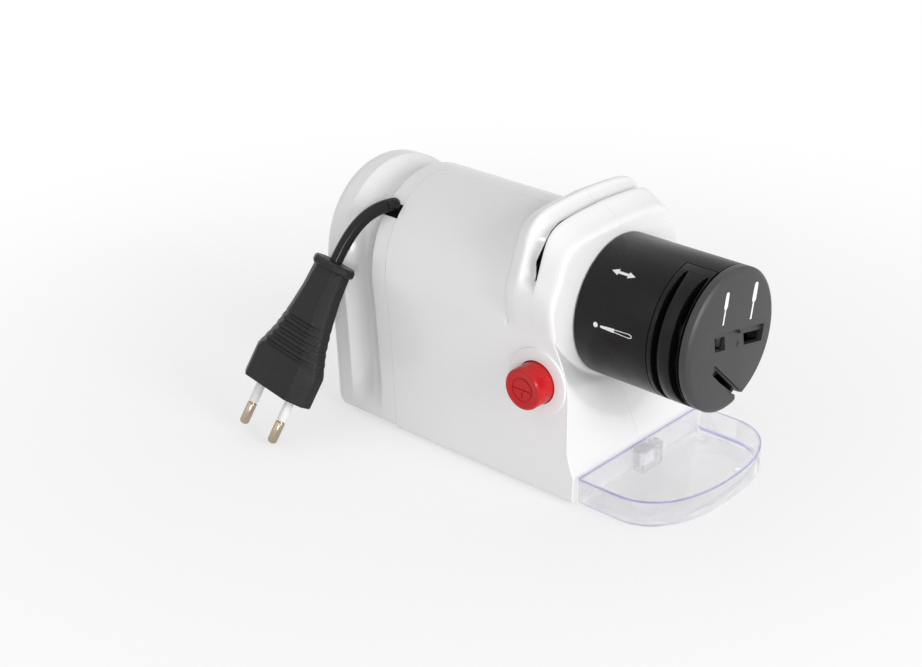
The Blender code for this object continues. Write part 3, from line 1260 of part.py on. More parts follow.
scissors = prism("scissor_notch", outline, CAP_X - CAP_SPIGOT - OVERRUN, DRUM_LENGTH + OVERRUN)
cut(cap, add(scissors, parent=drum))
add(cap, BLACK, 0.5, parent=drum)

# Power button, about an empty on its axis that points inwards
button_axis = bpy.data.objects.new("button_axis", None)
model.objects.link(button_axis)
button_axis.location = (BUTTON_X, -BUTTON_FACE_Y, BUTTON_Z)
button_axis.rotation_euler = (0.0, 0.0, math.radians(90))
flange_start = BUTTON_FACE_Y - BUTTON_FLANGE_Y
flange_end = flange_start + BUTTON_FLANGE
stem_end = BUTTON_FACE_Y - STEM_END_Y
button = turned(
    "power_button",
    [
        (0.0, 0.0),
        (0.0, BUTTON_RADIUS - BUTTON_EDGE),
        (BUTTON_EDGE, BUTTON_RADIUS),
        (flange_start, BUTTON_RADIUS),
        (flange_start, BUTTON_FLANGE_RADIUS),
        (flange_end, BUTTON_FLANGE_RADIUS),
        (flange_end, STEM_RADIUS),
        (stem_end, STEM_RADIUS),
        (stem_end, 0.0),
    ],
    MEDIUM_STEPS,
    centre,
)
add(button, (0.55, 0.004, 0.008), 0.25, parent=button_axis)
switch_start = BUTTON_FACE_Y - SWITCH_FRONT_Y
spring_start = flange_end + GAP + SPRING_WIRE_RADIUS
spring_length = switch_start - GAP - SPRING_WIRE_RADIUS - spring_start
coil = []
for i in range(SPRING_TURNS * SPRING_POINTS + 1):
    angle = 2 * math.pi * i / SPRING_POINTS
    along = spring_start + spring_length * i / (SPRING_TURNS * SPRING_POINTS)
    coil.append(Vector((along, SPRING_RADIUS * math.cos(angle), SPRING_RADIUS * math.sin(angle))))
add(piped("button_spring", coil, SPRING_WIRE_RADIUS, 1), STEEL, 0.3, 1.0, parent=button_axis)
plunger_start = stem_end + GAP
plunger_end = plunger_start + PLUNGER_LENGTH
plunger = turned(
    "switch_plunger",
    [(plunger_start, 0.0), (plunger_start, PLUNGER_RADIUS), (plunger_end, PLUNGER_RADIUS), (plunger_end, 0.0)],
    SMALL_STEPS,
    centre,
)
add(plunger, WHITE, 0.4, parent=button_axis)
low = (SWITCH_X - SWITCH_WIDTH / 2, -SWITCH_FRONT_Y, BUTTON_Z - SWITCH_HEIGHT / 2)
high = (SWITCH_X + SWITCH_WIDTH / 2, -SWITCH_REAR_Y, BUTTON_Z + SWITCH_HEIGHT / 2)
switch = box("switch_body", low, high)
ends = (switch_start - OVERRUN, 0.0, 0.0), (plunger_end + BUTTON_TRAVEL + GAP, 0.0, 0.0)
well = cylinder("plunger_well", PLUNGER_RADIUS + GAP, *ends)
cut(switch, add(well, parent=button_axis))
add(switch, (0.05, 0.05, 0.05), 0.5)

# Dust tray


def tray_ring(z, inset):
    """The tray's outline: straight sides, then a full round front."""
    half = TRAY_HALF_WIDTH - inset
    back = TRAY_BACK_X + inset
    centre_x = TRAY_BACK_X + TRAY_STRAIGHT
    front = TRAY_ROUND - inset
    points = [(back, half, z)]
    for i in range(TRAY_STEPS + 1):
        angle = math.pi / 2 - math.pi * i / TRAY_STEPS
        along = math.cos(angle)
        across = math.sin(angle)
        reach = (abs(along) ** TRAY_POWER + abs(across) ** TRAY_POWER) ** (1 / TRAY_POWER)
        points.append((centre_x + front * max(along, 0.0) / reach, half * across / reach, z))
    return points + [(back, -half, z)]


tray = loft(
    "dust_tray",
    [
        tray_ring(TRAY_BOTTOM_Z, TRAY_BASE_INSET),
        tray_ring(TRAY_BOTTOM_Z + TRAY_BASE_RISE, 0.0),
        tray_ring(TRAY_TOP_Z, 0.0),
    ],
)
inside = loft(
    "tray_inside",
    [
        tray_ring(TRAY_BOTTOM_Z + TRAY_WALL, TRAY_BASE_INSET + TRAY_WALL),
        tray_ring(TRAY_BOTTOM_Z + TRAY_WALL + TRAY_BASE_RISE, TRAY_WALL),
        tray_ring(TRAY_TOP_Z + OVERRUN, TRAY_WALL),
    ],
)
cut(tray, add(inside))
low = (TRAY_BACK_X + TRAY_WALL / 2, -POCKET_HALF_WIDTH, TRAY_BOTTOM_Z + TRAY_WALL / 2)
high = (TRAY_BACK_X + POCKET_DEPTH, POCKET_HALF_WIDTH, TRAY_TOP_Z)
join(tray, add(box("pocket", low, high)))
low = (TRAY_BACK_X - OVERRUN, -POCKET_HALF_WIDTH + POCKET_WALL, TRAY_BOTTOM_Z + TRAY_WALL + GAP)
high = (high[0] - POCKET_WALL, POCKET_HALF_WIDTH - POCKET_WALL, TRAY_TOP_Z - POCKET_WALL)
cut(tray, add(box("pocket_inside", low, high)))
tray_length = TRAY_STRAIGHT + TRAY_ROUND
for i, (along, across) in enumerate(zip(TRAY_FOOT_X_SHARES, TRAY_FOOT_Y_SHARES)):
    x = TRAY_BACK_X + tray_length * along
    y = TRAY_HALF_WIDTH * across
    ends = (x, y, TRAY_BOTTOM_Z - TRAY_FOOT_DROP), (x, y, TRAY_BOTTOM_Z + TRAY_WALL / 2)
    join(tray, add(cylinder(f"tray_foot_{i}", TRAY_FOOT_RADIUS, *ends)))
add(tray, (0.80, 0.82, 0.95), 0.05, transmission=0.9)

# Bring the centre of the base to the origin
rear_corner = seam_x(ARCH_Z + ARCH_RADIUS - COVER_ROUND) - COVER_DEPTH
base_centre = Vector(((TRAY_FRONT_X + rear_corner) / 2, (BASE_HALF_WIDTH - BUTTON_FACE_Y) / 2, 0.0))
for obj in list(model.objects) + list(cutters.objects):
    if obj.parent is None:
        obj.location -= base_centre
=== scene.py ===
import math

import bmesh
import bpy
from mathutils import Matrix, Vector


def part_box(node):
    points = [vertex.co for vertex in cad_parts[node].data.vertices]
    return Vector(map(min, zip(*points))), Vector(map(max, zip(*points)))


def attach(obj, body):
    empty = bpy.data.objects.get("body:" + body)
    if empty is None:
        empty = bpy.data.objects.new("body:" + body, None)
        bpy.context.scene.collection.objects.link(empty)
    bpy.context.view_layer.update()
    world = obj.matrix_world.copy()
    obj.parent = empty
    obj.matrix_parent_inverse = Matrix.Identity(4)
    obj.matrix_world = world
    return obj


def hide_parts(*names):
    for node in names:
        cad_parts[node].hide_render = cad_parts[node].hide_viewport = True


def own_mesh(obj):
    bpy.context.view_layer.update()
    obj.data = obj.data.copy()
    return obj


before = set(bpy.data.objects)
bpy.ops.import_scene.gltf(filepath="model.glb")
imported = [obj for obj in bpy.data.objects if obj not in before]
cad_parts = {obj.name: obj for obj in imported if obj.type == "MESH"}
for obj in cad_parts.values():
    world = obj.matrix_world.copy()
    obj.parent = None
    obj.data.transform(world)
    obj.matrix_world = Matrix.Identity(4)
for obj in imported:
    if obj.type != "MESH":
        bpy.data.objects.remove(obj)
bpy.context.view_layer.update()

# The camera of the product photograph, three quarters of a metre away, looks
# down on the near side and on the drum's end.
camera_data = bpy.data.cameras.new("camera")
camera_data.lens = 69.59
camera_data.sensor_width = 36
camera = bpy.data.objects.new("camera", camera_data)
camera.location = (0.40104, -0.5013, 0.3494)
looked_at = Vector((-0.04579, 0.0034, 0.0289))
camera.rotation_euler = (looked_at - camera.location).to_track_quat("-Z", "Y").to_euler()
bpy.context.scene.collection.objects.link(camera)
bpy.context.scene.camera = camera

# Mains lead: two cores in a black sheath, extruded. The photograph shows its
# short free end, from the notch in the rear cover down to the plug.
cord_radius = 0.0027
cord_exit = Vector((-0.05916625, -0.02452, 0.09120))
cord_exit_direction = Vector((-0.771, -0.571, -0.280)).normalized()
cord_exit_handle = 0.01123
cord_end_handle = 0.01181
plug_face = Vector((-0.07995625, -0.0704, 0.01915))
pin_direction = Vector((-0.135, -0.488, -0.863)).normalized()
plug_length = 0.0573
cord_gap = 0.0003
cord_points = 49


def new_node(tree, kind, inputs=None, **settings):
    """A shader node with its settings; an input is a value, or a socket to link from."""
    made = tree.nodes.new("ShaderNode" + kind)
    for label, value in settings.items():
        setattr(made, label, value)
    for label, value in (inputs or {}).items():
        if isinstance(value, bpy.types.NodeSocket):
            tree.links.new(value, made.inputs[label])
        else:
            made.inputs[label].default_value = value
    return made


def moulding_group():
    """The skin of a moulding: cloudy colour, uneven gloss and a fine grain."""
    group = bpy.data.node_groups.new("moulded_skin", "ShaderNodeTree")
    for label in ("Colour", "Cloud Colour"):
        group.interface.new_socket(label, in_out="INPUT", socket_type="NodeSocketColor")
    for label in ("Cloud Size", "Roughness", "Roughness Change", "Grain Size", "Grain Depth"):
        group.interface.new_socket(label, in_out="INPUT", socket_type="NodeSocketFloat")
    for label, kind in (("Colour", "Color"), ("Roughness", "Float"), ("Normal", "Vector")):
        group.interface.new_socket(label, in_out="OUTPUT", socket_type="NodeSocket" + kind)
    given, made = group.nodes.new("NodeGroupInput").outputs, group.nodes.new("NodeGroupOutput")
    place = new_node(group, "TexCoord").outputs["Object"]
    clouds = new_node(group, "TexNoise", {"Vector": place, "Scale": given["Cloud Size"], "Detail": 4.0})
    grain = new_node(group, "TexNoise", {"Vector": place, "Scale": given["Grain Size"], "Detail": 2.0})
    clouds, grain = clouds.outputs["Fac"], grain.outputs["Fac"]
    mix = new_node(group, "Mix", data_type="RGBA")
    for label, socket in (("Factor", clouds), ("A", given["Colour"]), ("B", given["Cloud Colour"])):
        group.links.new(socket, mix.inputs[label])
    gloss = new_node(group, "Math", {0: clouds, 1: given["Roughness Change"], 2: given["Roughness"]},
                     operation="MULTIPLY_ADD")
    bump = new_node(group, "Bump", {"Strength": 0.8, "Height": grain, "Distance": given["Grain Depth"]})
    for label, socket in (("Colour", mix.outputs["Result"]), ("Roughness", gloss.outputs["Value"]),
                          ("Normal", bump.outputs["Normal"])):
        group.links.new(socket, made.inputs[label])
    return group


moulded_skin = moulding_group()
tenth_of_a_mm = 0.0001


def moulded(name, colour, cloud, roughness, change=0.06, grain=2000.0, depth=0.1, size=30.0,
            **shader_values):
    """A material with the moulded skin, its grain's depth in tenths of a millimetre.

    The other values go on the shader itself.
    """
    made = bpy.data.materials.new(name)
    made.use_nodes = True
    shader = made.node_tree.nodes["Principled BSDF"]
    skin = new_node(made.node_tree, "Group", node_tree=moulded_skin)
    for label, value in (("Colour", (*colour, 1.0)), ("Cloud Colour", (*cloud, 1.0)), ("Cloud Size", size),
                         ("Roughness", roughness), ("Roughness Change", change), ("Grain Size", grain),
                         ("Grain Depth", depth * tenth_of_a_mm)):
        skin.inputs[label].default_value = value
    for label, target in (("Colour", "Base Color"), ("Roughness", "Roughness"), ("Normal", "Normal")):
        made.node_tree.links.new(skin.outputs[label], shader.inputs[target])
    for label, value in shader_values.items():
        shader.inputs[label.replace("_", " ").title().replace("Ior", "IOR")].default_value = value
    return made


def shown(name, data, finish, body, slot, *nodes):
    """Put a piece in the scene on its body, in place of its CAD nodes."""
    obj = bpy.data.objects.new(name, data)
    bpy.context.scene.collection.objects.link(obj)
    data.materials.clear()
    data.materials.append(finish)
    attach(obj, body)
    if nodes:
        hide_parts(*nodes)
    return obj


def bezier(start, handle, end_handle, end, count):
    """Points along one cubic curve."""
    points = []
    for i in range(count):
        t = i / (count - 1)
        u = 1 - t
        points.append(u**3 * start + 3 * u * u * t * handle + 3 * u * t * t * end_handle + t**3 * end)
    return points


sheath = moulded("lead_sheath", (0.006, 0.006, 0.007), (0.010, 0.010, 0.011), 0.16, 0.06, 900.0, 0.03,
                 specular_ior_level=0.22)
cord_end = plug_face - pin_direction * (plug_length + cord_gap)
route = bezier(
    cord_exit,
    cord_exit + cord_exit_direction * cord_exit_handle,
    cord_end - pin_direction * cord_end_handle,
    cord_end,
    cord_points,
)
lead_curve = bpy.data.curves.new("mains_lead", "CURVE")
lead_curve.dimensions = "3D"
lead_curve.bevel_depth = cord_radius
lead_curve.bevel_resolution = 6
lead_curve.use_fill_caps = True
lead_spline = lead_curve.splines.new("POLY")
lead_spline.points.add(cord_points - 1)
for point, place in zip(lead_spline.points, route):
    point.co = (*place, 1.0)
mains_lead = shown("mains_lead", lead_curve, sheath, "housing", "cord_rubber", "power_cord")

# Flat mains plug: black PVC moulded round the lead, eight-sided, with grip
# grooves across its broad faces and a collar where the lead comes in.
plug_half_width = 0.0180
plug_flat_half_width = 0.0123
plug_half_thickness = 0.0079
plug_ridge = 0.0026
plug_length_shares = (0.0, 0.23, 0.40, 0.58, 0.76, 0.935)
plug_width_shares = (1.0, 1.0, 0.76, 0.60, 0.50, 0.46)
plug_flat_shares = (1.0, 1.0, 0.68, 0.50, 0.39, 0.34)
plug_thickness_shares = (1.0, 1.0, 0.88, 0.78, 0.70, 0.66)
collar_half_width = 0.0100
collar_half_thickness = 0.0066
collar_thickness = 0.0034
collar_flat_share = 0.7
collar_side_share = 0.35
collar_front_round = 0.0006
collar_rear_round = 0.0009
grip_grooves = 5
grip_start_share = 0.27
grip_pitch_share = 0.058
grip_groove_shares = (0.22, 0.48, 0.7)
grip_depth = 0.0007
plug_front_stops = (0.0, 0.012, 0.12, 0.23)
plug_rear_stops = (0.60, 0.68, 0.76, 0.85, 0.935)
plug_edge = 0.0006

plug_side = pin_direction.cross(Vector((0.991, -0.074, -0.113))).normalized()
plug_across = plug_side.cross(pin_direction)
plug_turn = Matrix((plug_across, plug_side, pin_direction)).transposed().to_4x4()
plug_place = Matrix.Translation(plug_face) @ plug_turn


def along(table, places, place):
    """A value between the entries of a table."""
    for i in range(len(places) - 1):
        if place <= places[i + 1]:
            share = (place - places[i]) / (places[i + 1] - places[i])
            return table[i] + (table[i + 1] - table[i]) * share
    return table[-1]


def grow(bm, rings, closed=True):
    """Extrude a line of edges from section to section; give back its first and last edges."""
    place = bm.verts.layers.int.get("place") or bm.verts.layers.int.new("place")
    row = [bm.verts.new(point) for point in rings[0]]
    for i, vertex in enumerate(row):
        vertex[place] = i
    pairs = list(zip(row, row[1:] + row[:1])) if closed else list(zip(row, row[1:]))
    first = edges = [bm.edges.new(pair) for pair in pairs]
    for ring in rings[1:]:
        made = bmesh.ops.extrude_edge_only(bm, edges=edges)["geom"]
        fresh = {item for item in made if isinstance(item, bmesh.types.BMVert)}
        edges = [
            item for item in made
            if isinstance(item, bmesh.types.BMEdge) and item.verts[0] in fresh and item.verts[1] in fresh
        ]
        for vertex in fresh:
            vertex.co = ring[vertex[place]]
    return first, edges


def close_ends(bm, *loops):
    """Fill loops of edges, and turn every face outwards."""
    for edges in loops:
        bmesh.ops.edgeloop_fill(bm, edges=edges)
    bmesh.ops.recalc_face_normals(bm, faces=bm.faces)


def round_off(bm, edges, width, segments, clamp=False):
    """Round chosen edges."""
    bmesh.ops.bevel(bm, geom=edges, offset=width, segments=segments, profile=0.5,
                    affect="EDGES", clamp_overlap=clamp, material=-1)


def soften(bm, width, segments=2, angle=35.0, kept=None):
    """Round the edges that are sharper than an angle."""
    edges = [
        edge for edge in bm.edges
        if len(edge.link_faces) == 2 and edge.calc_face_angle(0.0) > math.radians(angle)
        and (kept is None or kept(edge))
    ]
    round_off(bm, edges, width, segments, clamp=True)


def meshed(name, bm, sharp=32.0):
    """A mesh from a bmesh, smooth but for its sharp edges."""
    data = bpy.data.meshes.new(name)
    bm.to_mesh(data)
    bm.free()
    data.shade_smooth()
    data.set_sharp_from_angle(angle=math.radians(sharp))
    return data


def plug_ring(share, groove=0.0):
    """The plug's section at a share of its length, with its broad faces drawn in."""
    half = plug_half_width * along(plug_width_shares, plug_length_shares, share)
    flat = plug_flat_half_width * along(plug_flat_shares, plug_length_shares, share)
    thick = plug_half_thickness * along(plug_thickness_shares, plug_length_shares, share) - groove
    quarter = [(half - groove / 3, plug_ridge), (flat - groove / 2, thick)]
    points = quarter + [(-x, y) for x, y in quarter[::-1]]
    back = -(plug_length - collar_thickness) * share / plug_length_shares[-1]
    return [(x, y, back) for x, y in points] + [(-x, -y, back) for x, y in points]


plug_stops = [(share, 0.0) for share in plug_front_stops]
for i in range(grip_grooves):
    start = grip_start_share + grip_pitch_share * i
    down, along_floor, up = (start + grip_pitch_share * share for share in grip_groove_shares)
    plug_stops += [(start, 0.0), (down, grip_depth), (along_floor, grip_depth), (up, 0.0)]
plug_stops += [(share, 0.0) for share in plug_rear_stops]
plug_rings = [plug_ring(share, groove) for share, groove in plug_stops]
collar_flat = collar_half_width - collar_half_thickness * collar_flat_share
for back, inset in ((0.0, collar_front_round), (collar_front_round, 0.0),
                    (collar_thickness - collar_rear_round, 0.0), (collar_thickness, collar_rear_round)):
    quarter = [(collar_half_width - inset, collar_half_thickness * collar_side_share),
               (collar_flat, collar_half_thickness - inset)]
    points = quarter + [(-x, y) for x, y in quarter[::-1]]
    z = -(plug_length - collar_thickness) - back
    plug_rings.append([(x, y, z) for x, y in points] + [(-x, -y, z) for x, y in points])

bm = bmesh.new()
close_ends(bm, *grow(bm, plug_rings))
soften(bm, plug_edge, 3, 14.0, lambda edge: abs(edge.verts[0].co.z - edge.verts[1].co.z) > 0.00001
       or edge.verts[0].co.z > -0.00001)
bm.transform(plug_place)
plug_rubber = moulded("plug_rubber", (0.006, 0.006, 0.0065), (0.012, 0.012, 0.0125), 0.36, 0.1, 1900.0, 4.0,
                      specular_ior_level=0.28)
plug_moulding = shown("plug_moulding", meshed("plug_moulding", bm, 28.0), plug_rubber,
                      "housing", "black_plastic", "plug_body")

# Two round plug pins: brass bar turned, nickel plated, with a rounded tip, and
# a white insulating sleeve over the root of each.
pin_spacing = 0.0180
pin_radius = 0.0020
pin_length = 0.0195
pin_root_radius = 0.0013
pin_root = 0.0060
sleeve_radius = 0.0019
sleeve_length = 0.0095
pin_tip_shares = ((0.6, 1.0), (0.2, 0.78), (0.0, 0.4), (0.0, 0.0))
pin_steps = 40
pin_edge = 0.00015
sleeve_edge = 0.00012


def turn(bm, outline, steps=96):
    """Spin an outline of (along, radius) pairs about the X axis into a closed shape."""
    row = [bm.verts.new((x, 0.0, radius)) for x, radius in outline]
    edges = [bm.edges.new(pair) for pair in zip(row, row[1:] + row[:1])
             if pair[0].co.z > 0 or pair[1].co.z > 0]
    bmesh.ops.spin(bm, geom=row + edges, axis=(1.0, 0.0, 0.0), angle=2 * math.pi, steps=steps, use_merge=True)
    bmesh.ops.remove_doubles(bm, verts=bm.verts, dist=0.000002)
    bmesh.ops.recalc_face_normals(bm, faces=bm.faces)


def turned(name, outline, steps=96, matrix=None, edge=0.0, segments=2):
    """The mesh of a turned piece, with its corners rounded."""
    bm = bmesh.new()
    turn(bm, outline, steps)
    if edge:
        soften(bm, edge, segments)
    if matrix is not None:
        bm.transform(matrix)
    return meshed(name, bm)


to_pins = Matrix.Rotation(math.radians(-90), 4, "Y")
# The plating's colour is nickel's own tint, painted darker: painted shade for the dark reflections along the
# pins.
nickel_painted_dark = moulded("nickel_plate_painted_dark", (0.37, 0.30, 0.22), (0.50, 0.42, 0.33), 0.14, 0.08, 1500.0, 0.05,
                 metallic=1.0)
sleeve_white = moulded("sleeve_white", (0.80, 0.80, 0.79), (0.74, 0.74, 0.73), 0.34, 0.08, 1500.0, 0.08)
for i, side in enumerate((-1, 1)):
    place = plug_place @ Matrix.Translation((side * pin_spacing / 2, 0.0, 0.0)) @ to_pins
    sleeve_end = sleeve_length + cord_gap * 2
    outline = [(-pin_root, 0.0), (-pin_root, pin_root_radius), (sleeve_end, pin_root_radius),
               (sleeve_end, pin_radius)]
    outline += [(pin_length - pin_radius * back, pin_radius * wide) for back, wide in pin_tip_shares]
    data = turned(f"pin_{i + 1}", outline, pin_steps, place, pin_edge)
    shown(f"pin_{i + 1}", data, nickel_painted_dark, "housing", "pin_metal", f"plug_pin_{i + 1}")
    outline = [(cord_gap, pin_root_radius + cord_gap / 2), (cord_gap, sleeve_radius),
               (sleeve_length, sleeve_radius), (sleeve_length, pin_root_radius + cord_gap / 2)]
    data = turned(f"sleeve_{i + 1}", outline, pin_steps, place, sleeve_edge)
    shown(f"sleeve_{i + 1}", data, sleeve_white, "housing", "white_plastic",
                         f"plug_sleeve_{i + 1}")

# Housing: two halves of glossy white ABS, split down the middle and screwed
# together, with a blade groove over the head and a curved apron under the drum.
nose = Vector((0.03434375, 0.0034, 0.0))
shaft = nose + Vector((0.0, 0.0, 0.0676))
floor_z = 0.0010
base_edge = 0.0020
base_half_width = 0.0417
arch_radius = 0.0390
arch_z = 0.0605
shoulder_z = 0.0640
flare_power = 1.6
shell_wall = 0.0022
middle_gap = 0.00004
side_shares = (0.0, 0.05, 0.14, 0.28, 0.43, 0.58, 0.73, 0.86, 0.965, 1.0)
floor_shares = (0.0, 0.3, 0.6, 0.85)
seam_mid_x = -0.0778
seam_lean = 0.125
step_x = -0.0239
step_round = 0.0012
head_half_width = 0.0406
rear_fin_z = 0.1095
front_fin_z = 0.1068
roof_front_z = 0.1019
nose_round = 0.0022
head_width_shares = (0.9600, 0.970, 1.0, 1.0, 0.975, 0.955, 0.933, 0.892, 0.852, 0.806, 0.740, 0.610, 0.345,
                     0.0)
head_height_shares = (0.035, 0.110, 0.240, 0.365, 0.440, 0.485, 0.530, 0.640, 0.747, 0.846, 0.915, 0.968,
                      0.990, 1.0)
groove_x = -0.01305
groove_mouth = 0.0067
groove_depth = 0.0046
groove_end_z = 0.0826
groove_fade = 0.0045
slit_width = 0.0016
slit_swell = 0.0026
slit_swell_z = 0.0905
slit_swell_height = 0.0055
slit_front = groove_x + groove_mouth / 2 - 0.0004
slit_floor_z = 0.0845
ridge_rise = 0.0022
ridge_setback = 0.0012
apron_reach = 0.0126
apron_centre_z = 0.0385
lip_z = 0.0120
apron_x_shares = (0.0, 0.19, 0.373, 0.508, 0.619, 0.667, 0.762, 0.881, 0.968, 1.0)
apron_edge_shares = (1.0, 0.92, 0.827, 0.75, 0.663, 0.192, 0.125, 0.058, 0.010, 0.0)
apron_centre_shares = (1.0, 0.85, 0.64, 0.51, 0.434, 0.404, 0.302, 0.17, 0.09, 0.0)
body_station_shares = (0.08, 0.25, 0.45, 0.65, 0.82, 0.94, 0.985)
front_station_shares = (0.05, 0.2, 0.4, 0.6, 0.8, 0.95)
apron_station_shares = (0.0, 0.06, 0.19, 0.373, 0.508, 0.61, 0.66, 0.70, 0.762, 0.881, 0.968, 1.0)
button_x = -0.0072
button_z = 0.0458
pad_radius = 0.0138
pad_face_y = 0.0399
button_radius = 0.0084
button_clearance = 0.0004
flange_clearance = 0.0002
flange_room_y = 0.0310
flange_room_radius = 0.0097
foot_radius = 0.0050
foot_height = 0.0022
foot_y = 0.0300
foot_edge = 0.0004
foot_places = (0.0, -0.0680)
screw_places = [(x, z) for x in (-0.0600, -0.0240) for z in (0.0160, 0.0400)]
boss_radius = 0.0042
boss_wall = 0.0030
boss_gap = 0.0002
head_bore = 0.0030
head_seat_y = 0.0080
head_bore_end_y = 0.0500
screw_bore = 0.0018
screw_depth = 0.0130
recess_gap = 0.0003
tool_reach = 0.0010
neck_hole_radius = 0.0078
neck_hole_x = (-0.0060, 0.0030)
pad_edge = 0.0004
round_steps = 128
hole_steps = 64
tongue_half_width = 0.0042
tongue_length = 0.0058
tongue_low_z = 0.0042
tongue_high_z = 0.0094
tongue_root = 0.0015
tongue_corner = 0.0024


def side_half_width(z):
    """Half width of the flared base, or of the arch above it."""
    if z < arch_z:
        share = (arch_z - z) / (arch_z - floor_z - base_edge)
        return arch_radius + (base_half_width - arch_radius) * share**flare_power
    return math.sqrt(arch_radius**2 - (z - arch_z) ** 2)


def side_run(top, inset=0.0, floor=floor_z):
    """From the middle of the floor outwards, round its edge and up the side."""
    floor = floor + inset
    edge = floor + base_edge
    half = side_half_width(edge) - inset
    points = [((half - base_edge) * share, floor) for share in floor_shares]
    points += [(half - base_edge, floor), (half - base_edge * 0.3, floor + base_edge * 0.3)]
    for share in side_shares:
        z = edge + (top - edge) * share
        points.append((side_half_width(z) - inset, z))
    return points


def barrel(inset=0.0, floor=floor_z):
    """The outline behind the head: side, shoulder and round arch."""
    points = side_run(shoulder_z, inset, floor)
    start = math.asin((shoulder_z - arch_z) / arch_radius)
    count = len(head_width_shares)
    for i in range(1, count + 1):
        share = max(i - 0.6, 0.0) / (count - 0.6)
        angle = start + (math.pi / 2 - start) * share
        across = 0.0 if i == count else math.cos(angle) * (arch_radius - inset)
        points.append((across, arch_z + math.sin(angle) * (arch_radius - inset)))
    return points


def head(crest, half_width=head_half_width):
    """The wider outline of the head, up to its crest."""
    points = side_run(shoulder_z)
    for across, up in zip(head_width_shares, head_height_shares):
        points.append((half_width * across, shoulder_z + (crest - shoulder_z) * up))
    return points


def grooved(points, depth=1.0):
    """The head's outline drawn in towards the shaft by the depth of the groove."""
    made = []
    for y, z in points:
        share = min(max((z - groove_end_z) / groove_fade, 0.0), 1.0)
        share = depth * share * share * (3 - 2 * share)
        scale = 1 - groove_depth * share / math.hypot(y, z - shaft.z)
        made.append((y * scale, shaft.z + (z - shaft.z) * scale) if share else (y, z))
    return made


def apron(x):
    """The outline under the drum: low in the middle and rising to the sides."""
    share = min(max(x / apron_reach, 0.0), 1.0)
    edge = lip_z + (shoulder_z - lip_z) * along(apron_edge_shares, apron_x_shares, share)
    centre = lip_z + (apron_centre_z - lip_z) * along(apron_centre_shares, apron_x_shares, share)
    points = side_run(edge)
    half = points[-1][0]
    count = len(head_width_shares)
    for i in range(1, count + 1):
        across = 1 - max(i - 0.55, 0.0) / (count - 0.55)
        points.append((half * across, centre + (edge - centre) * across**2))
    return points


def mixed(one, other, share):
    """An outline between two others."""
    return [(a[0] + (b[0] - a[0]) * share, a[1] + (b[1] - a[1]) * share) for a, b in zip(one, other)]


def seam_x(z):
    """The leaning plane where the rear cover meets the housing."""
    return seam_mid_x - seam_lean * z


def half_ring(x, points, side):
    """One side of an outline, in its place; x may be a function of height."""
    return [
        nose + Vector((x(z) if callable(x) else x, side * max(y, middle_gap), z))
        for y, z in points
    ]


def baked(obj):
    """Put what the modifiers make into the object's own mesh."""
    old = obj.data
    depsgraph = bpy.context.evaluated_depsgraph_get()
    obj.data = bpy.data.meshes.new_from_object(obj.evaluated_get(depsgraph))
    obj.modifiers.clear()
    bpy.data.meshes.remove(old)
    obj.data.name = obj.name
    obj.data.set_sharp_from_angle(angle=math.radians(32))


def face_up(bm):
    """Turn the faces of an open skin outwards, which is up for its highest one."""
    bmesh.ops.recalc_face_normals(bm, faces=bm.faces)
    top = max(bm.faces, key=lambda face: face.calc_center_median().z)
    if top.normal.z < 0:
        bmesh.ops.reverse_faces(bm, faces=bm.faces)


def thick_skin(obj, wall, levels=2):
    """Give an open skin its wall and its soft curves."""
    solidify = obj.modifiers.new("wall", "SOLIDIFY")
    solidify.thickness = wall
    solidify.offset = -1.0
    solidify.edge_crease_rim = 1.0
    solidify.edge_crease_outer = 1.0
    solidify.edge_crease_inner = 1.0
    subdivide = obj.modifiers.new("smooth", "SUBSURF")
    subdivide.levels = levels
    subdivide.render_levels = levels
    baked(obj)


def tool(bm, name="tool"):
    """A shape to join on to a piece, or to cut out of it."""
    bmesh.ops.recalc_face_normals(bm, faces=bm.faces)
    data = bpy.data.meshes.new(name)
    bm.to_mesh(data)
    bm.free()
    obj = bpy.data.objects.new(name, data)
    bpy.context.scene.collection.objects.link(obj)
    return obj


def join(*tools):
    """Steps that join tools on to a piece."""
    return [("UNION", other) for other in tools]


def cut(*tools):
    """Steps that cut tools out of a piece."""
    return [("DIFFERENCE", other) for other in tools]


def worked(obj, steps):
    """Join and cut with pairs of operation and tool, in turn, and bake the result."""
    for operation, other in steps:
        boolean = obj.modifiers.new(other.name, "BOOLEAN")
        boolean.operation = operation
        boolean.object = other
        boolean.solver = "MANIFOLD"
    baked(obj)
    for _, other in steps:
        data = other.data
        bpy.data.objects.remove(other)
        bpy.data.meshes.remove(data)


def add_bar(bm, radius, start, end, steps=48):
    """A round bar between two points."""
    start, end = Vector(start), Vector(end)
    turn_to = (end - start).to_track_quat("Z", "Y").to_matrix().to_4x4()
    bmesh.ops.create_cone(bm, cap_ends=True, segments=steps, radius1=radius, radius2=radius,
                          depth=(end - start).length, matrix=Matrix.Translation((start + end) / 2) @ turn_to)


def add_block(bm, low, high, matrix=Matrix.Identity(4)):
    """A box between two corners."""
    low, high = Vector(low), Vector(high)
    place = matrix @ Matrix.Translation((low + high) / 2) @ Matrix.Diagonal((*(high - low), 1.0))
    bmesh.ops.create_cube(bm, size=1.0, matrix=place)


def bars(radius, ends, steps=32):
    """A tool of several round bars."""
    bm = bmesh.new()
    for start, end in ends:
        add_bar(bm, radius, nose + Vector(start), nose + Vector(end), steps)
    return tool(bm)


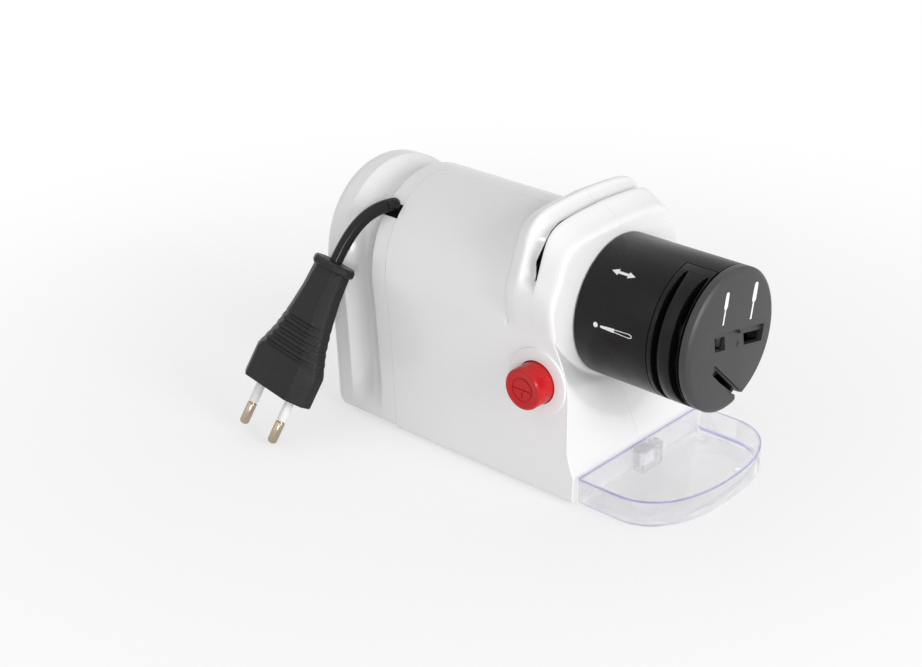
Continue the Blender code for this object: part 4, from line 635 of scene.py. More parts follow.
def housing_stations():
    """Outlines from the rear seam, over the step, groove and roof, to the lip."""
    plain = barrel()
    rear = head(rear_fin_z)
    low = head(rear_fin_z - ridge_rise, head_half_width - ridge_rise / 4)
    low_soft = head(rear_fin_z - ridge_rise - step_round, head_half_width - ridge_rise / 4 - step_round / 2)
    deep = grooved(rear)
    front = head(front_fin_z)
    roof = head(roof_front_z)
    face = head(roof_front_z - nose_round, head_half_width - nose_round / 2)
    stations = [(seam_x, plain), (lambda z: seam_x(z) + base_edge / 3, plain)]
    for share in body_station_shares:
        stations.append((lambda z, s=share: seam_x(z) + (step_x - seam_x(z)) * s, plain))
    groove_front = groove_x + groove_mouth / 2
    ridge_x = groove_x - groove_mouth / 2 - ridge_setback
    lip = groove_front - slit_front

    def slit_rear(z, back=0.0):
        """The slit's rear edge: the slit swells at the shoulder."""
        swell = slit_swell * math.exp(-((z - slit_swell_z) / slit_swell_height) ** 2)
        return slit_front - slit_width - swell - back

    stations += [
        (step_x, plain),
        (step_x + step_round * 0.12, mixed(plain, low_soft, 0.3)),
        (step_x + step_round * 0.3, low_soft),
        (step_x + step_round * 0.8, mixed(low_soft, low, 0.65)),
        (step_x + step_round * 1.6, mixed(low, rear, 0.12)),
        (ridge_x - step_round * 1.3, mixed(low, rear, 0.82)),
        (ridge_x - step_round * 0.5, mixed(low, rear, 0.98)),
        (ridge_x + step_round * 0.3, mixed(rear, deep, 0.01)),
        (ridge_x + step_round * 1.1, mixed(rear, deep, 0.14)),
        (ridge_x + step_round * 1.7, mixed(rear, deep, 0.40)),
        (lambda z: slit_rear(z, step_round * 0.5), mixed(rear, deep, 0.90)),
        (slit_rear, deep),
        (slit_front, deep),
        (slit_front + lip * 0.3, mixed(deep, front, 0.14)),
        (groove_front - lip * 0.1, mixed(deep, front, 0.88)),
        (groove_front + lip * 0.4, mixed(front, roof, 0.02)),
        (groove_front + step_round * 1.2, mixed(front, roof, 0.12)),
        ((groove_front - nose_round) / 2, mixed(front, roof, 0.55)),
        (-nose_round * 1.5, mixed(front, roof, 0.9)),
        (-nose_round * 0.75, mixed(roof, face, 0.12)),
        (-nose_round * 0.22, mixed(roof, face, 0.55)),
        (0.0, face),
    ]
    first = apron(0.0)
    for share in front_station_shares:
        stations.append((0.0, mixed(face, first, share)))
    for share in apron_station_shares:
        stations.append((apron_reach * share, apron(apron_reach * share)))
    return stations


white_abs = moulded("white_abs", (0.80, 0.795, 0.80), (0.77, 0.765, 0.775), 0.20, 0.07, 900.0, 0.03,
                    coat_weight=0.25, coat_roughness=0.08)


def housing_half(name, side, node):
    """One half of the clamshell, with its wall, slit, bosses and foot recesses."""
    bm = bmesh.new()
    grow(bm, [half_ring(x, points, side) for x, points in housing_stations()], closed=False)
    slit = [
        face for face in bm.faces
        if abs(max(v.co.x for v in face.verts) - nose.x - slit_front) < middle_gap
        and face.calc_center_median().z > slit_floor_z
    ]
    bmesh.ops.delete(bm, geom=slit, context="FACES")
    lip = [edge for edge in bm.edges if edge.is_boundary
           and all(abs(v.co.x - nose.x - apron_reach) < middle_gap for v in edge.verts)]
    made = bmesh.ops.extrude_edge_only(bm, edges=lip)["geom"]
    for vertex in made:
        if isinstance(vertex, bmesh.types.BMVert):
            vertex.co.z = min(vertex.co.z, floor_z + base_edge)
    bmesh.ops.remove_doubles(bm, verts=bm.verts, dist=0.00001)
    face_up(bm)
    obj = shown(name, meshed(name, bm), white_abs, "housing", "white_plastic", node)
    thick_skin(obj, shell_wall)
    steps = []
    if side < 0:
        pad_y = -pad_face_y
        bm = bmesh.new()
        add_bar(bm, pad_radius, nose + Vector((button_x, pad_y, button_z)),
                nose + Vector((button_x, pad_y + shell_wall, button_z)), round_steps)
        soften(bm, pad_edge, 3)
        steps += join(tool(bm))
        for radius, low, high in ((button_radius + button_clearance, pad_y - pad_radius,
                                   pad_y + pad_radius / 2),
                                  (flange_room_radius, shell_wall + flange_clearance + pad_y,
                                   -flange_room_y)):
            ends = (button_x, low, button_z), (button_x, high, button_z)
            steps += cut(bars(radius, [ends], round_steps))
    wall = side * (base_half_width - boss_wall)

    def at_screws(radius, low, high):
        """Bars along Y at the housing's screws."""
        return bars(radius, [((x, low, z), (x, high, z)) for x, z in screw_places])

    steps += join(at_screws(boss_radius, side * boss_gap, wall))
    if side > 0:
        steps += cut(at_screws(head_bore, head_seat_y, head_bore_end_y),
                     at_screws(screw_bore, -tool_reach, head_seat_y + tool_reach))
    else:
        steps += cut(at_screws(screw_bore, tool_reach, -screw_depth))
    feet = [((x, side * foot_y, -tool_reach), (x, side * foot_y, foot_height + recess_gap))
            for x in foot_places]
    neck_hole = [tuple((x, 0.0, shaft.z) for x in neck_hole_x)]
    steps += cut(bars(foot_radius + recess_gap, feet, hole_steps),
                 bars(neck_hole_radius, neck_hole, hole_steps))
    bm = bmesh.new()
    ys = sorted((side * middle_gap, side * tongue_half_width))
    add_block(bm, (apron_reach - tongue_root, ys[0], tongue_low_z),
              (apron_reach + tongue_length, ys[1], tongue_high_z), Matrix.Translation(nose))
    front = [edge for edge in bm.edges
             if all(v.co.x > nose.x + apron_reach and abs(v.co.y - nose.y) > tongue_half_width / 2
                    for v in edge.verts)]
    round_off(bm, front, tongue_corner, 6)
    worked(obj, steps + join(tool(bm)))


housing_half("housing_shell_near", -1, "housing_near")
housing_half("housing_shell_far", 1, "housing_far")

# Rear cover: one white ABS moulding over the motor's tail, with a waisted
# groove to hold it by, five vents and a notch for the lead. Two screws fix it.
cover_lift = 0.0008
cover_depth = 0.0360
cover_ring = 0.0075
waist_end = 0.0245
waist_depth = 0.0055
waist_floor_z = 0.0060
waist_fade = 0.0140
cover_round = 0.0060
cover_screw_y = 0.0260
cover_screw_z = 0.0180
vent_width = 0.0022
vent_pitch = 0.0090
vent_low_z = 0.0480
vent_high_z = 0.0780
vents = 5
vent_round_share = 0.48
vent_reach = 0.0040
gland_angle = math.radians(42.8)
notch_length = 0.0080
notch_width = 0.0062
notch_depth = 0.0070
notch_past_seam = 0.0050
notch_rise = 0.0030
notch_corner = 0.0008
channel_back = 0.0030
channel_length = 0.0100
cover_front_depths = [0.00012, 0.0008, 0.003, 0.006]
waist_shares = (-0.03, 0.0, 0.03, 0.12, 0.25, 0.38, 0.5, 0.62, 0.75, 0.88, 0.97, 1.0, 1.03)
cover_back_depth = 0.0272
cover_round_shares = (1.0, 0.8, 0.6, 0.42, 0.26, 0.14, 0.05, 0.0)
cover_back_shares = (0.9, 0.7, 0.45, 0.2)
post_sink = 0.0012
post_gap = 0.0003
seat_depth = 0.0100
counterbore_reach = 0.0060


def cover_outline(depth, inset=0.0):
    """A whole outline of the cover at a distance behind the seam."""
    into = min(max(depth - (cover_depth - cover_round), 0.0), cover_round)
    inset = inset + cover_round - math.sqrt(cover_round**2 - into**2)
    share = (depth - cover_ring) / (waist_end - cover_ring)
    waist = waist_depth * math.sin(math.pi * share) if 0 < share < 1 else 0.0
    made = []
    for y, z in barrel(inset, floor_z + cover_lift):
        fade = min(max((z - waist_floor_z) / waist_fade, 0.0), 1.0)
        drawn = waist * fade * fade * (3 - 2 * fade)
        if z < arch_z:
            made.append((max(y - drawn, 0.0) if y else 0.0, z))
        else:
            scale = 1 - drawn / math.hypot(y, z - arch_z)
            made.append((y * scale, arch_z + (z - arch_z) * scale))
    made += [(-y, z) for y, z in made[-2:0:-1]]
    return [nose + Vector((seam_x(z) - depth, y, z)) for y, z in made]


waist_length = waist_end - cover_ring
depths = cover_front_depths + [cover_ring + waist_length * share for share in waist_shares]
depths += [cover_back_depth] + [cover_depth - cover_round * share for share in cover_round_shares]
cover_rings = [cover_outline(depth) for depth in depths]
last = cover_rings[-1]
middle = sum(last, Vector()) / len(last)
for share in cover_back_shares:
    cover_rings.append([middle + (point - middle) * share for point in last])
bm = bmesh.new()
first, end_loop = grow(bm, cover_rings)
bmesh.ops.edgeloop_fill(bm, edges=end_loop)
face_up(bm)
cover = shown("cover_rear", meshed("cover_rear", bm), white_abs, "housing", "white_plastic", "rear_cover")
thick_skin(cover, shell_wall)

cover_rear_x = seam_x(cover_screw_z) - cover_depth
post_front = seam_x(cover_screw_z - boss_radius) - post_gap
seat_x = post_front - seat_depth


def at_cover_screws(radius, low, high):
    """Bars along X at the cover's two screws."""
    return bars(radius,
                [((low, y, cover_screw_z), (high, y, cover_screw_z))
                 for y in (-cover_screw_y, cover_screw_y)])


bm = bmesh.new()
for i in range(vents):
    y = (i - (vents - 1) / 2) * vent_pitch
    low = (seam_x(vent_high_z) - cover_depth - tool_reach, y - vent_width / 2, vent_low_z)
    high = (seam_x(vent_low_z) - cover_depth + vent_reach, y + vent_width / 2, vent_high_z)
    add_block(bm, low, high, Matrix.Translation(nose))
ends = [edge for edge in bm.edges if abs(edge.verts[0].co.x - edge.verts[1].co.x) > vent_width]
round_off(bm, ends, vent_width * vent_round_share, 5)
vent_tool = tool(bm)
gland_normal = Vector((0.0, -math.sin(gland_angle), math.cos(gland_angle)))
gland_surface = Vector((0.0, 0.0, arch_z)) + gland_normal * arch_radius
gland_x = seam_x(gland_surface.z) - post_gap - notch_length / 2
gland_place = (Matrix.Translation(nose + Vector((gland_x, gland_surface.y, gland_surface.z)))
               @ Matrix.Rotation(gland_angle, 4, "X"))
bm = bmesh.new()
add_block(bm, (-notch_length / 2, -notch_width / 2, -notch_depth),
          (notch_length / 2 + notch_past_seam, notch_width / 2, notch_rise), gland_place)
soften(bm, notch_corner, 3, 35.0,
       lambda edge: all((gland_place.inverted() @ vertex.co).x < 0 for vertex in edge.verts))
channel_start = cord_exit - cord_exit_direction * channel_back - nose
channel = bars(cord_radius + recess_gap,
               [(channel_start, channel_start + cord_exit_direction * channel_length)])
worked(cover, join(at_cover_screws(boss_radius, cover_rear_x + post_sink, post_front))
       + cut(at_cover_screws(head_bore, cover_rear_x - counterbore_reach, seat_x),
             at_cover_screws(screw_bore, seat_x - tool_reach, post_front + tool_reach),
             vent_tool, tool(bm), channel))

# Drum: black ABS tube with a fine satin texture, which turns on the neck to
# bring the guides round, and pulls off. Its shell has a window for the panel.
drum_radius = 0.0280
drum_wall = 0.0022
drum_length = 0.0520
drum_clearance = 0.0005
cap_length = 0.0039
guide_x = 0.0335
guide_start = math.radians(10)
guide_end = math.radians(156)
panel_gap = 0.0003
drum_edge = 0.0004
drum_steps = 160
sweep_steps = 96
at_shaft = Matrix.Translation(shaft)
shell_inner = drum_radius - drum_wall
shell_front = drum_length - cap_length - panel_gap
ring_radius = shell_inner - panel_gap

drum_satin = moulded("drum_satin", (0.0045, 0.0045, 0.0047), (0.0060, 0.0060, 0.0062), 0.24, 0.06, 5200.0,
                     0.08, specular_ior_level=0.19)


def around(bm, rings, start, end, steps):
    """Sweep sections of (along, radius) pairs about the shaft.

    rings is a function of the share swept. Angles are measured from the top
    towards the near side.
    """
    sections = []
    for i in range(steps + 1):
        share = i / steps
        angle = start + (end - start) * share
        sections.append([(x, -radius * math.sin(angle), radius * math.cos(angle)) for x,
                         radius in rings(share)])
    close_ends(bm, *grow(bm, sections))


def sector_tool(outline, start, end, steps=sweep_steps):
    """A tool swept about the shaft."""
    bm = bmesh.new()
    around(bm, lambda share: outline, start, end, steps)
    bm.transform(at_shaft)
    return tool(bm)


def box_outline(x_low, x_high, inner, outer):
    """The section of a tube, as (along, radius) pairs."""
    return [(x_low, inner), (x_high, inner), (x_high, outer), (x_low, outer)]


outline = box_outline(drum_clearance, shell_front, shell_inner, drum_radius)
data = turned("drum_tube", outline, drum_steps, at_shaft, drum_edge)
drum_tube = shown("drum_tube", data, drum_satin, "drum", "black_plastic", "drum_shell")
window = box_outline(guide_x, shell_front + tool_reach, shell_inner - tool_reach, drum_radius + tool_reach)
worked(drum_tube, cut(sector_tool(window, guide_start, guide_end)))

# Knife guide: a black panel let into the drum, with two slots that run out to
# points, so that a blade is held at its angle against the wheel.
guide_gap = panel_gap / drum_radius
guide_inner = 0.0195
guide_flange = 0.0022
slot_start = math.radians(19)
slot_end = math.radians(147)
slots = ((0.0356, 0.0030, 0.45), (0.0436, 0.0035, 0.78))
slot_taper = 0.30
slot_end_share = 0.1
guide_front = shell_front - 0.0005
guide_back = guide_x + panel_gap
guide_edge = 0.00025
guide_steps = 112
slot_edge = 0.00028
guide_section = [
    (guide_back, ring_radius), (guide_back, drum_radius), (guide_front, drum_radius),
    (guide_front, guide_inner),
    (guide_back - guide_flange, guide_inner), (guide_back - guide_flange, ring_radius),
]
bm = bmesh.new()
around(bm, lambda share: guide_section, guide_start + guide_gap, guide_end - guide_gap, guide_steps)
soften(bm, guide_edge, 2, 60.0)
bm.transform(at_shaft)
blade_guide = shown("blade_guide", meshed("blade_guide", bm), drum_satin, "drum", "black_plastic",
                    "knife_guide")
slot_tools = []
for slot_x, slot_width, tip in slots:

    def slot_section(share, x=slot_x, width=slot_width, tip=tip):
        """The slot's section, which narrows towards both of its ends."""
        open_share = min(share / slot_taper, (1 - share) / slot_taper, 1.0)
        open_share = slot_end_share + (1 - slot_end_share) * math.sqrt(1 - (1 - open_share) ** 2)
        low = x + width * tip * (1 - open_share)
        high = x + width - width * (1 - tip) * (1 - open_share)
        return box_outline(low, high, guide_inner - tool_reach, drum_radius + tool_reach)

    bm = bmesh.new()
    around(bm, slot_section, slot_start, slot_end, sweep_steps)
    bm.transform(at_shaft)
    slot_tools.append(tool(bm))
worked(blade_guide, cut(*slot_tools))
# The rounded edges of the slots take a lighter grey: a painted highlight along them.
slot_edge_painted_highlight = moulded("slot_edge_painted_highlight", (0.16, 0.16, 0.165), (0.11, 0.11, 0.115), 0.30, 0.06, 5200.0, 0.08)
blade_guide.data.materials.append(slot_edge_painted_highlight)
rounded = blade_guide.modifiers.new("edges", "BEVEL")
rounded.limit_method = "ANGLE"
rounded.angle_limit = math.radians(50)
rounded.width = slot_edge
rounded.segments = 2
rounded.material = 1
baked(blade_guide)

# End cap: black ABS disc snapped into the drum, with two stepped ports for
# screwdrivers and a notch for scissors.
cap_wall = 0.0022
cap_face_radius = 0.0269
cap_spigot = 0.0036
cap_spigot_wall = 0.0019
cap_rim = ((0.0, 0.0012), (0.0002, 0.0003))
cap_edge = 0.00012
relief_gap = 0.00015
face_tilt = math.radians(-11.5)
small_port, small_port_size = (-0.0070, 0.0008), (0.0068, 0.0049)
wide_port, wide_port_size = (0.0147, -0.0038), (0.0122, 0.0042)
port_corner = 0.0002
small_recess, small_recess_size, small_recess_corner = (-0.0042, 0.0012), (0.0192, 0.0070), 0.0022
wide_recess, wide_recess_size, wide_recess_corner = (0.0130, -0.0022), (0.0160, 0.0066), 0.0005
recess_depth = 0.0017
notch_step = 0.0011
notch_overlap = 0.0001
notch_y_shares = (-0.368, 0.289, 0.482, 0.540, 0.200, 0.182, 0.161, 0.021, -0.461)
notch_z_shares = (-0.225, -0.832, -0.939, -1.150, -1.150, -0.957, -0.850, -0.775, -0.304)
inner_notch_y_shares = (-0.290, 0.289, 0.482, 0.540, 0.200, 0.182, 0.161, 0.060, -0.375)
inner_notch_z_shares = (-0.330, -0.870, -0.960, -1.150, -1.150, -0.957, -0.850, -0.755, -0.395)
cap_x = drum_length - cap_length

# The cap's black ABS is rougher than the drum's and painted a lighter grey: painted light for the light its
# face catches from the front.
cap_satin_painted_light = moulded("cap_satin_painted_light", (0.028, 0.028, 0.029), (0.034, 0.034, 0.035), 0.42, 0.06, 5200.0, 0.15)
outline = [(drum_length, 0.0)] + [(drum_length - down, cap_face_radius - inwards) for down,
                                  inwards in cap_rim]
outline += [
    (drum_length - (drum_radius - cap_face_radius), drum_radius), (cap_x, drum_radius), (cap_x, ring_radius),
    (cap_x - cap_spigot, ring_radius), (cap_x - cap_spigot, ring_radius - cap_spigot_wall),
    (drum_length - cap_wall, ring_radius - cap_spigot_wall), (drum_length - cap_wall, 0.0),
]
cap_disc = shown("cap_disc", turned("cap_disc", outline, drum_steps, at_shaft, cap_edge), cap_satin_painted_light,
                 "drum", "black_plastic", "end_cap")


def face_block(place, size, depth, corner, ramp=False):
    """A tool for a slot in the cap's face, tilted as the slots are.

    A ramp's floor runs out at its lower edge.
    """
    bm = bmesh.new()
    here = at_shaft @ Matrix.Translation((drum_length, *place)) @ Matrix.Rotation(face_tilt, 4, "X")
    if ramp:
        here = here @ Matrix.Translation((0.0, 0.0, -size[1] / 2))
        here = here @ Matrix.Rotation(-math.asin(depth / size[1]), 4, "Y")
        add_block(bm, (0.0, -size[0] / 2, 0.0), (depth * 2, size[0] / 2, size[1]), here)
    else:
        add_block(bm, (-depth, -size[0] / 2, -size[1] / 2), (tool_reach, size[0] / 2, size[1] / 2), here)
    back = here.inverted()
    ends = [edge for edge in bm.edges
            if abs((back @ edge.verts[0].co).x - (back @ edge.verts[1].co).x) > depth / 2]
    round_off(bm, ends, corner, 4)
    return tool(bm)


def face_outline(y_shares, z_shares, low, high):
    """A tool with an outline in the cap's face."""
    bm = bmesh.new()
    rings = [
        [shaft + Vector((x, drum_radius * y, drum_radius * z)) for y, z in zip(y_shares, z_shares)]
        for x in (low, high)
    ]
    close_ends(bm, *grow(bm, rings))
    return tool(bm)


through_low = cap_x - cap_spigot - tool_reach
relief = box_outline(through_low, cap_x + panel_gap, ring_radius - cap_spigot_wall - tool_reach,
                     ring_radius + relief_gap)
worked(cap_disc, cut(
    sector_tool(relief, guide_start - guide_gap, guide_end + guide_gap),
    face_block(small_recess, small_recess_size, recess_depth, small_recess_corner, True),
    face_block(wide_recess, wide_recess_size, recess_depth, wide_recess_corner, True),
    face_block(small_port, small_port_size, cap_wall + tool_reach, port_corner),
    face_block(wide_port, wide_port_size, cap_wall + tool_reach, port_corner),
    face_outline(notch_y_shares, notch_z_shares, drum_length - notch_step, drum_length + tool_reach),
    face_outline(inner_notch_y_shares, inner_notch_z_shares, through_low,
                 drum_length - notch_step + notch_overlap),
))

# Marks: pad-printed in white ink. A double arrow for the turn of the drum, a
# dot, a knife for the panel and a screwdriver over each port.
ink = moulded("white_ink", (0.80, 0.80, 0.80), (0.72, 0.72, 0.73), 0.5, 0.1, 3000.0, 0.1)
ink_height = 0.00006
arrow_angle = math.radians(39)
arrow_x = (0.0097, 0.0203)
arrow_head = 0.0031
arrow_half = 0.00135
arrow_shaft = 0.00052
dot_angle = math.radians(83)
dot_x = 0.0105
dot_radius = 0.0010
knife_angle = math.radians(83)
knife_x = (0.0125, 0.0271)
knife_bolster_x = 0.0190
ink_line = 0.00026
blade_places = (0.0, 0.82, 0.94, 1.0, 0.95, 0.83, 0.0)
blade_halves = (0.00058, 0.00085, 0.00060, -0.00005, -0.00065, -0.00090, -0.00062)
dot_points = 24
driver_marks = (
    ((-0.0047, 0.0209), 0.0062, (-0.0068, 0.0086), 0.00112),
    ((0.0142, 0.0188), 0.0073, (0.0116, 0.0047), 0.00132),
)


def ink_mark(bm, outline, place):
    """A flat mark on a surface; place turns its points and a height into the part's frame."""
    top = [bm.verts.new(place(a, b, ink_height)) for a, b in outline]
    face = bm.faces.new(top)
    made = bmesh.ops.extrude_face_region(bm, geom=[face])["geom"]
    for vertex in made:
        if isinstance(vertex, bmesh.types.BMVert):
            index = min(range(len(top)), key=lambda i: (top[i].co - vertex.co).length)
            vertex.co = place(*outline[index], -ink_height)


def on_drum(angle):
    """A place on the drum's side, by X and by the length round it."""
    def place(x, across, height):
        turn_to = angle - across / drum_radius
        radius = drum_radius + height
        return shaft + Vector((x, -radius * math.sin(turn_to), radius * math.cos(turn_to)))
    return place


def on_face(start, end):
    """A place on the cap's face, by the length from one point towards another."""
    direction = (Vector(end) - Vector(start)).normalized()
    across = Vector((-direction.y, direction.x))

    def place(length, aside, height):
        at = Vector(start) + direction * length + across * aside
        return shaft + Vector((drum_length + height, at.x, at.y))
    return place


bm = bmesh.new()
low, high = arrow_x
half_arrow = [(low, 0.0), (low + arrow_head, arrow_half), (low + arrow_head, arrow_shaft),
              (high - arrow_head, arrow_shaft), (high - arrow_head, arrow_half), (high, 0.0)]
ink_mark(bm, half_arrow + [(x, -y) for x, y in half_arrow[-2:0:-1]], on_drum(arrow_angle))
angles = [math.tau * i / dot_points for i in range(dot_points)]
dot = [(dot_x + dot_radius * math.cos(angle), dot_radius * math.sin(angle)) for angle in angles]
ink_mark(bm, dot, on_drum(dot_angle))
handle = [(knife_x[0], -0.0001), (knife_x[0] + 0.0005, 0.0004), (knife_bolster_x, 0.0008),
          (knife_bolster_x, -0.0008), (knife_x[0] + 0.0006, -0.0005)]
ink_mark(bm, handle, on_drum(knife_angle))
blade_length = knife_x[1] - knife_bolster_x
outer = [(knife_bolster_x + blade_length * share, half) for share, half in zip(blade_places, blade_halves)]
inner = [(knife_bolster_x + (blade_length - ink_line) * share,
          half - math.copysign(ink_line * (share != 1.0), half))
         for share, half in zip(blade_places, blade_halves)]
ink_mark(bm, outer + inner[::-1], on_drum(knife_angle))
for start, neck, end, wide in driver_marks:
    length = (Vector(end) - Vector(start)).length
    thin = wide * 0.36
    half = [(0.0, wide * 0.5), (wide * 0.5, wide * 0.82), (neck * 0.5, wide * 0.95), (neck * 0.9, wide),
            (neck, wide * 0.75), (neck + thin, thin), (length * 0.95, thin), (length, thin * 1.35)]
    ink_mark(bm, half + [(x, -y) for x, y in half[::-1]], on_face(start, end))
bmesh.ops.triangulate(bm, faces=bm.faces)
bmesh.ops.recalc_face_normals(bm, faces=bm.faces)
shown("printed_marks", meshed("printed_marks", bm), ink, "drum", "white_plastic")

# Power button: glossy red cap with a moulded switch mark, in a round spot
# face on the near side. A spring behind it pushes it back out.
button_rise = 0.0086
mark_line = 0.00025
mark_low, mark_high = -0.0005, 0.0007
mark_reach = 0.0042
mark_stem = (-0.0034, -0.0008)
button_face_y = pad_face_y + button_rise
button_turn = (Matrix.Translation(nose + Vector((button_x, -button_face_y, button_z)))
               @ Matrix.Rotation(math.radians(90), 4, "Z"))
red_gloss = moulded("red_gloss", (0.52, 0.012, 0.014), (0.46, 0.010, 0.012), 0.20, 0.06, 700.0, 0.02,
                    specular_ior_level=0.25)
outline = [
    (0.0003, 0.0), (0.0003, 0.0043), (0.0006, 0.0044), (0.0006, 0.0048), (0.0003, 0.0049), (0.0003, 0.0062),
    (0.0, 0.0068), (0.0001, 0.0076), (0.0006, 0.0082), (0.0014, button_radius), (0.0122, button_radius),
    (0.0122, 0.0093), (0.0131, 0.0093), (0.0131, 0.0030), (0.0205, 0.0030), (0.0205, 0.0),
]
button = shown("button_cap", turned("button_cap", outline, round_steps, button_turn), red_gloss,
               "button", "red_plastic", "power_button")
bm = bmesh.new()
add_block(bm, (mark_low, -mark_reach, -mark_line), (mark_high, mark_reach, mark_line), button_turn)
add_block(bm, (mark_low, -mark_line, mark_stem[0]), (mark_high, mark_line, mark_stem[1]), button_turn)
worked(button, cut(tool(bm)))

# Dust tray: clear styrene, moulded in one, hooked on a tongue of the housing.
# Its cut edges gather the light and look violet: a painted glow, mixed as a violet colour into its rim and
# base edge.
tray_gap = 0.0010
tray_back = apron_reach + tray_gap
tray_half_width = 0.0402
tray_straight = 0.0180
tray_round = 0.0252
tray_power = 2.29
tray_top = 0.0121
tray_bottom = 0.0008
tray_wall = 0.0015
tray_base_inset = 0.0015
tray_base_rise = 0.0022
tray_front_steps = 96
tray_corner = 0.0012
base_round = 0.0006
inside_round = 0.0004
rim_edge = 0.0002
tray_foot_radius = 0.0020
tray_foot_height = 0.0005
tray_foot_shares = ((0.16, -0.84), (0.16, 0.84), (0.72, -0.56), (0.72, 0.56))
tray_foot_steps = 40
pocket_half_width = 0.0065
pocket_depth = 0.0064
pocket_wall = 0.0012
pocket_edge = 0.0003


def tray_ring(z, inset):
    """The tray's outline: straight sides, then a full round front."""
    half = tray_half_width - inset
    back = tray_back + inset
    centre_x = tray_back + tray_straight
    points = [(back + tray_corner, half), (centre_x - tray_straight / 2, half)]
    for i in range(tray_front_steps + 1):
        angle = math.pi / 2 - math.pi * i / tray_front_steps
        forward, across = math.cos(angle), math.sin(angle)
        reach = (abs(forward) ** tray_power + abs(across) ** tray_power) ** (1 / tray_power)
        points.append((centre_x + (tray_round - inset) * max(forward, 0.0) / reach, half * across / reach))
    points += [(centre_x - tray_straight / 2, -half), (back + tray_corner, -half),
               (back, -half + tray_corner), (back, 0.0), (back, half - tray_corner)]
    return [nose + Vector((x, y, z)) for x, y in points]


tray_floor = tray_bottom + tray_wall
tray_rings = [
    tray_ring(tray_bottom, tray_base_inset + base_round),
    tray_ring(tray_bottom + rim_edge, tray_base_inset),
    tray_ring(tray_bottom + tray_base_rise, 0.0),
    tray_ring(tray_top - rim_edge, 0.0),
    tray_ring(tray_top, rim_edge),
    tray_ring(tray_top, tray_wall - rim_edge),
    tray_ring(tray_top - rim_edge, tray_wall),
    tray_ring(tray_floor + tray_base_rise, tray_wall),
    tray_ring(tray_floor + inside_round, tray_base_inset + tray_wall - inside_round),
    tray_ring(tray_floor, tray_base_inset + tray_wall + inside_round * 2),
]
bm = bmesh.new()
close_ends(bm, *grow(bm, tray_rings))
clear_tray = shown("clear_tray", meshed("clear_tray", bm), white_abs, "tray", "clear_plastic", "dust_tray")
bm = bmesh.new()
add_block(bm, (tray_back + tray_wall / 2, -pocket_half_width, tray_bottom + tray_wall / 2),
          (tray_back + pocket_depth, pocket_half_width, tray_top), Matrix.Translation(nose))
soften(bm, pocket_edge)
pocket = tool(bm)
bm = bmesh.new()
add_block(bm, (tray_back - tool_reach, -pocket_half_width + pocket_wall, tray_floor + pocket_edge),
          (tray_back + pocket_depth - pocket_wall, pocket_half_width - pocket_wall, tray_top - pocket_wall),
          Matrix.Translation(nose))
pocket_inside = tool(bm)
feet_ends = []
tray_length = tray_straight + tray_round
for share, across in tray_foot_shares:
    x, y = tray_back + tray_length * share, tray_half_width * across
    feet_ends.append(((x, y, tray_bottom - tray_foot_height), (x, y, tray_bottom + tray_wall / 2)))
worked(clear_tray, join(pocket) + cut(pocket_inside)
       + join(bars(tray_foot_radius, feet_ends, tray_foot_steps)))

clear = bpy.data.materials.new("clear_styrene")
clear.use_nodes = True
tree = clear.node_tree
shader = tree.nodes["Principled BSDF"]
shader.inputs["IOR"].default_value = 1.5
shader.inputs["Transmission Weight"].default_value = 1.0
place = new_node(tree, "TexCoord").outputs["Object"]
split = new_node(tree, "SeparateXYZ", {"Vector": place})


def number(operation, *values):
    """One step of arithmetic in the tray's shader."""
    return new_node(tree, "Math", dict(enumerate(values)), operation=operation).outputs["Value"]


def between(value, low, high):
    """A soft mask that rises from low to high."""
    inputs = {"Value": value, "From Min": low, "From Max": high}
    return new_node(tree, "MapRange", inputs, interpolation_type="SMOOTHSTEP").outputs["Result"]


# Painted glow: a mask of the rim and of the base edge mixes violet into the colour and makes the plastic less
# clear there.
beyond = number("MAXIMUM", number("SUBTRACT", split.outputs["X"], nose.x + tray_back + tray_straight), 0.0)
aside = number("ABSOLUTE", number("SUBTRACT", split.outputs["Y"], nose.y))
from_centre = number("POWER", number("MULTIPLY", beyond, 1 / tray_round), tray_power)
from_middle = number("POWER", number("MULTIPLY", aside, 1 / tray_half_width), tray_power)
outwards = number("POWER", number("ADD", from_centre, from_middle), 1 / tray_power)
at_wall = between(outwards, 0.968, 0.980)
at_back = between(split.outputs["X"], nose.x + tray_back + tray_wall * 0.8,
                  nose.x + tray_back + tray_wall * 0.6)
at_top = between(split.outputs["Z"], tray_top - 0.0006, tray_top - 0.0001)
at_rim = number("MULTIPLY", number("MAXIMUM", at_wall, at_back), at_top)
at_base = number("MULTIPLY", at_wall, between(split.outputs["Z"], 0.0034, 0.0022))
painted_edge_glow = number("MAXIMUM", at_rim, at_base)
clear_with_painted_glow = new_node(tree, "Mix", {"A": (0.93, 0.935, 0.97, 1.0), "B": (0.22, 0.21, 0.62, 1.0)}, data_type="RGBA")
tree.links.new(painted_edge_glow, clear_with_painted_glow.inputs["Factor"])
solid = new_node(tree, "MapRange", {"Value": painted_edge_glow, "To Min": 0.42, "To Max": 0.9})
scuffs = new_node(tree, "TexNoise", {"Vector": place, "Scale": 120.0})
haze = new_node(tree, "MapRange", {"Value": scuffs.outputs["Fac"], "To Min": 0.02, "To Max": 0.10})
for label, source in (("Base Color", clear_with_painted_glow), ("Alpha", solid), ("Roughness", haze)):
    tree.links.new(source.outputs["Result"], shader.inputs[label])
clear_tray.data.materials.clear()
clear_tray.data.materials.append(clear)

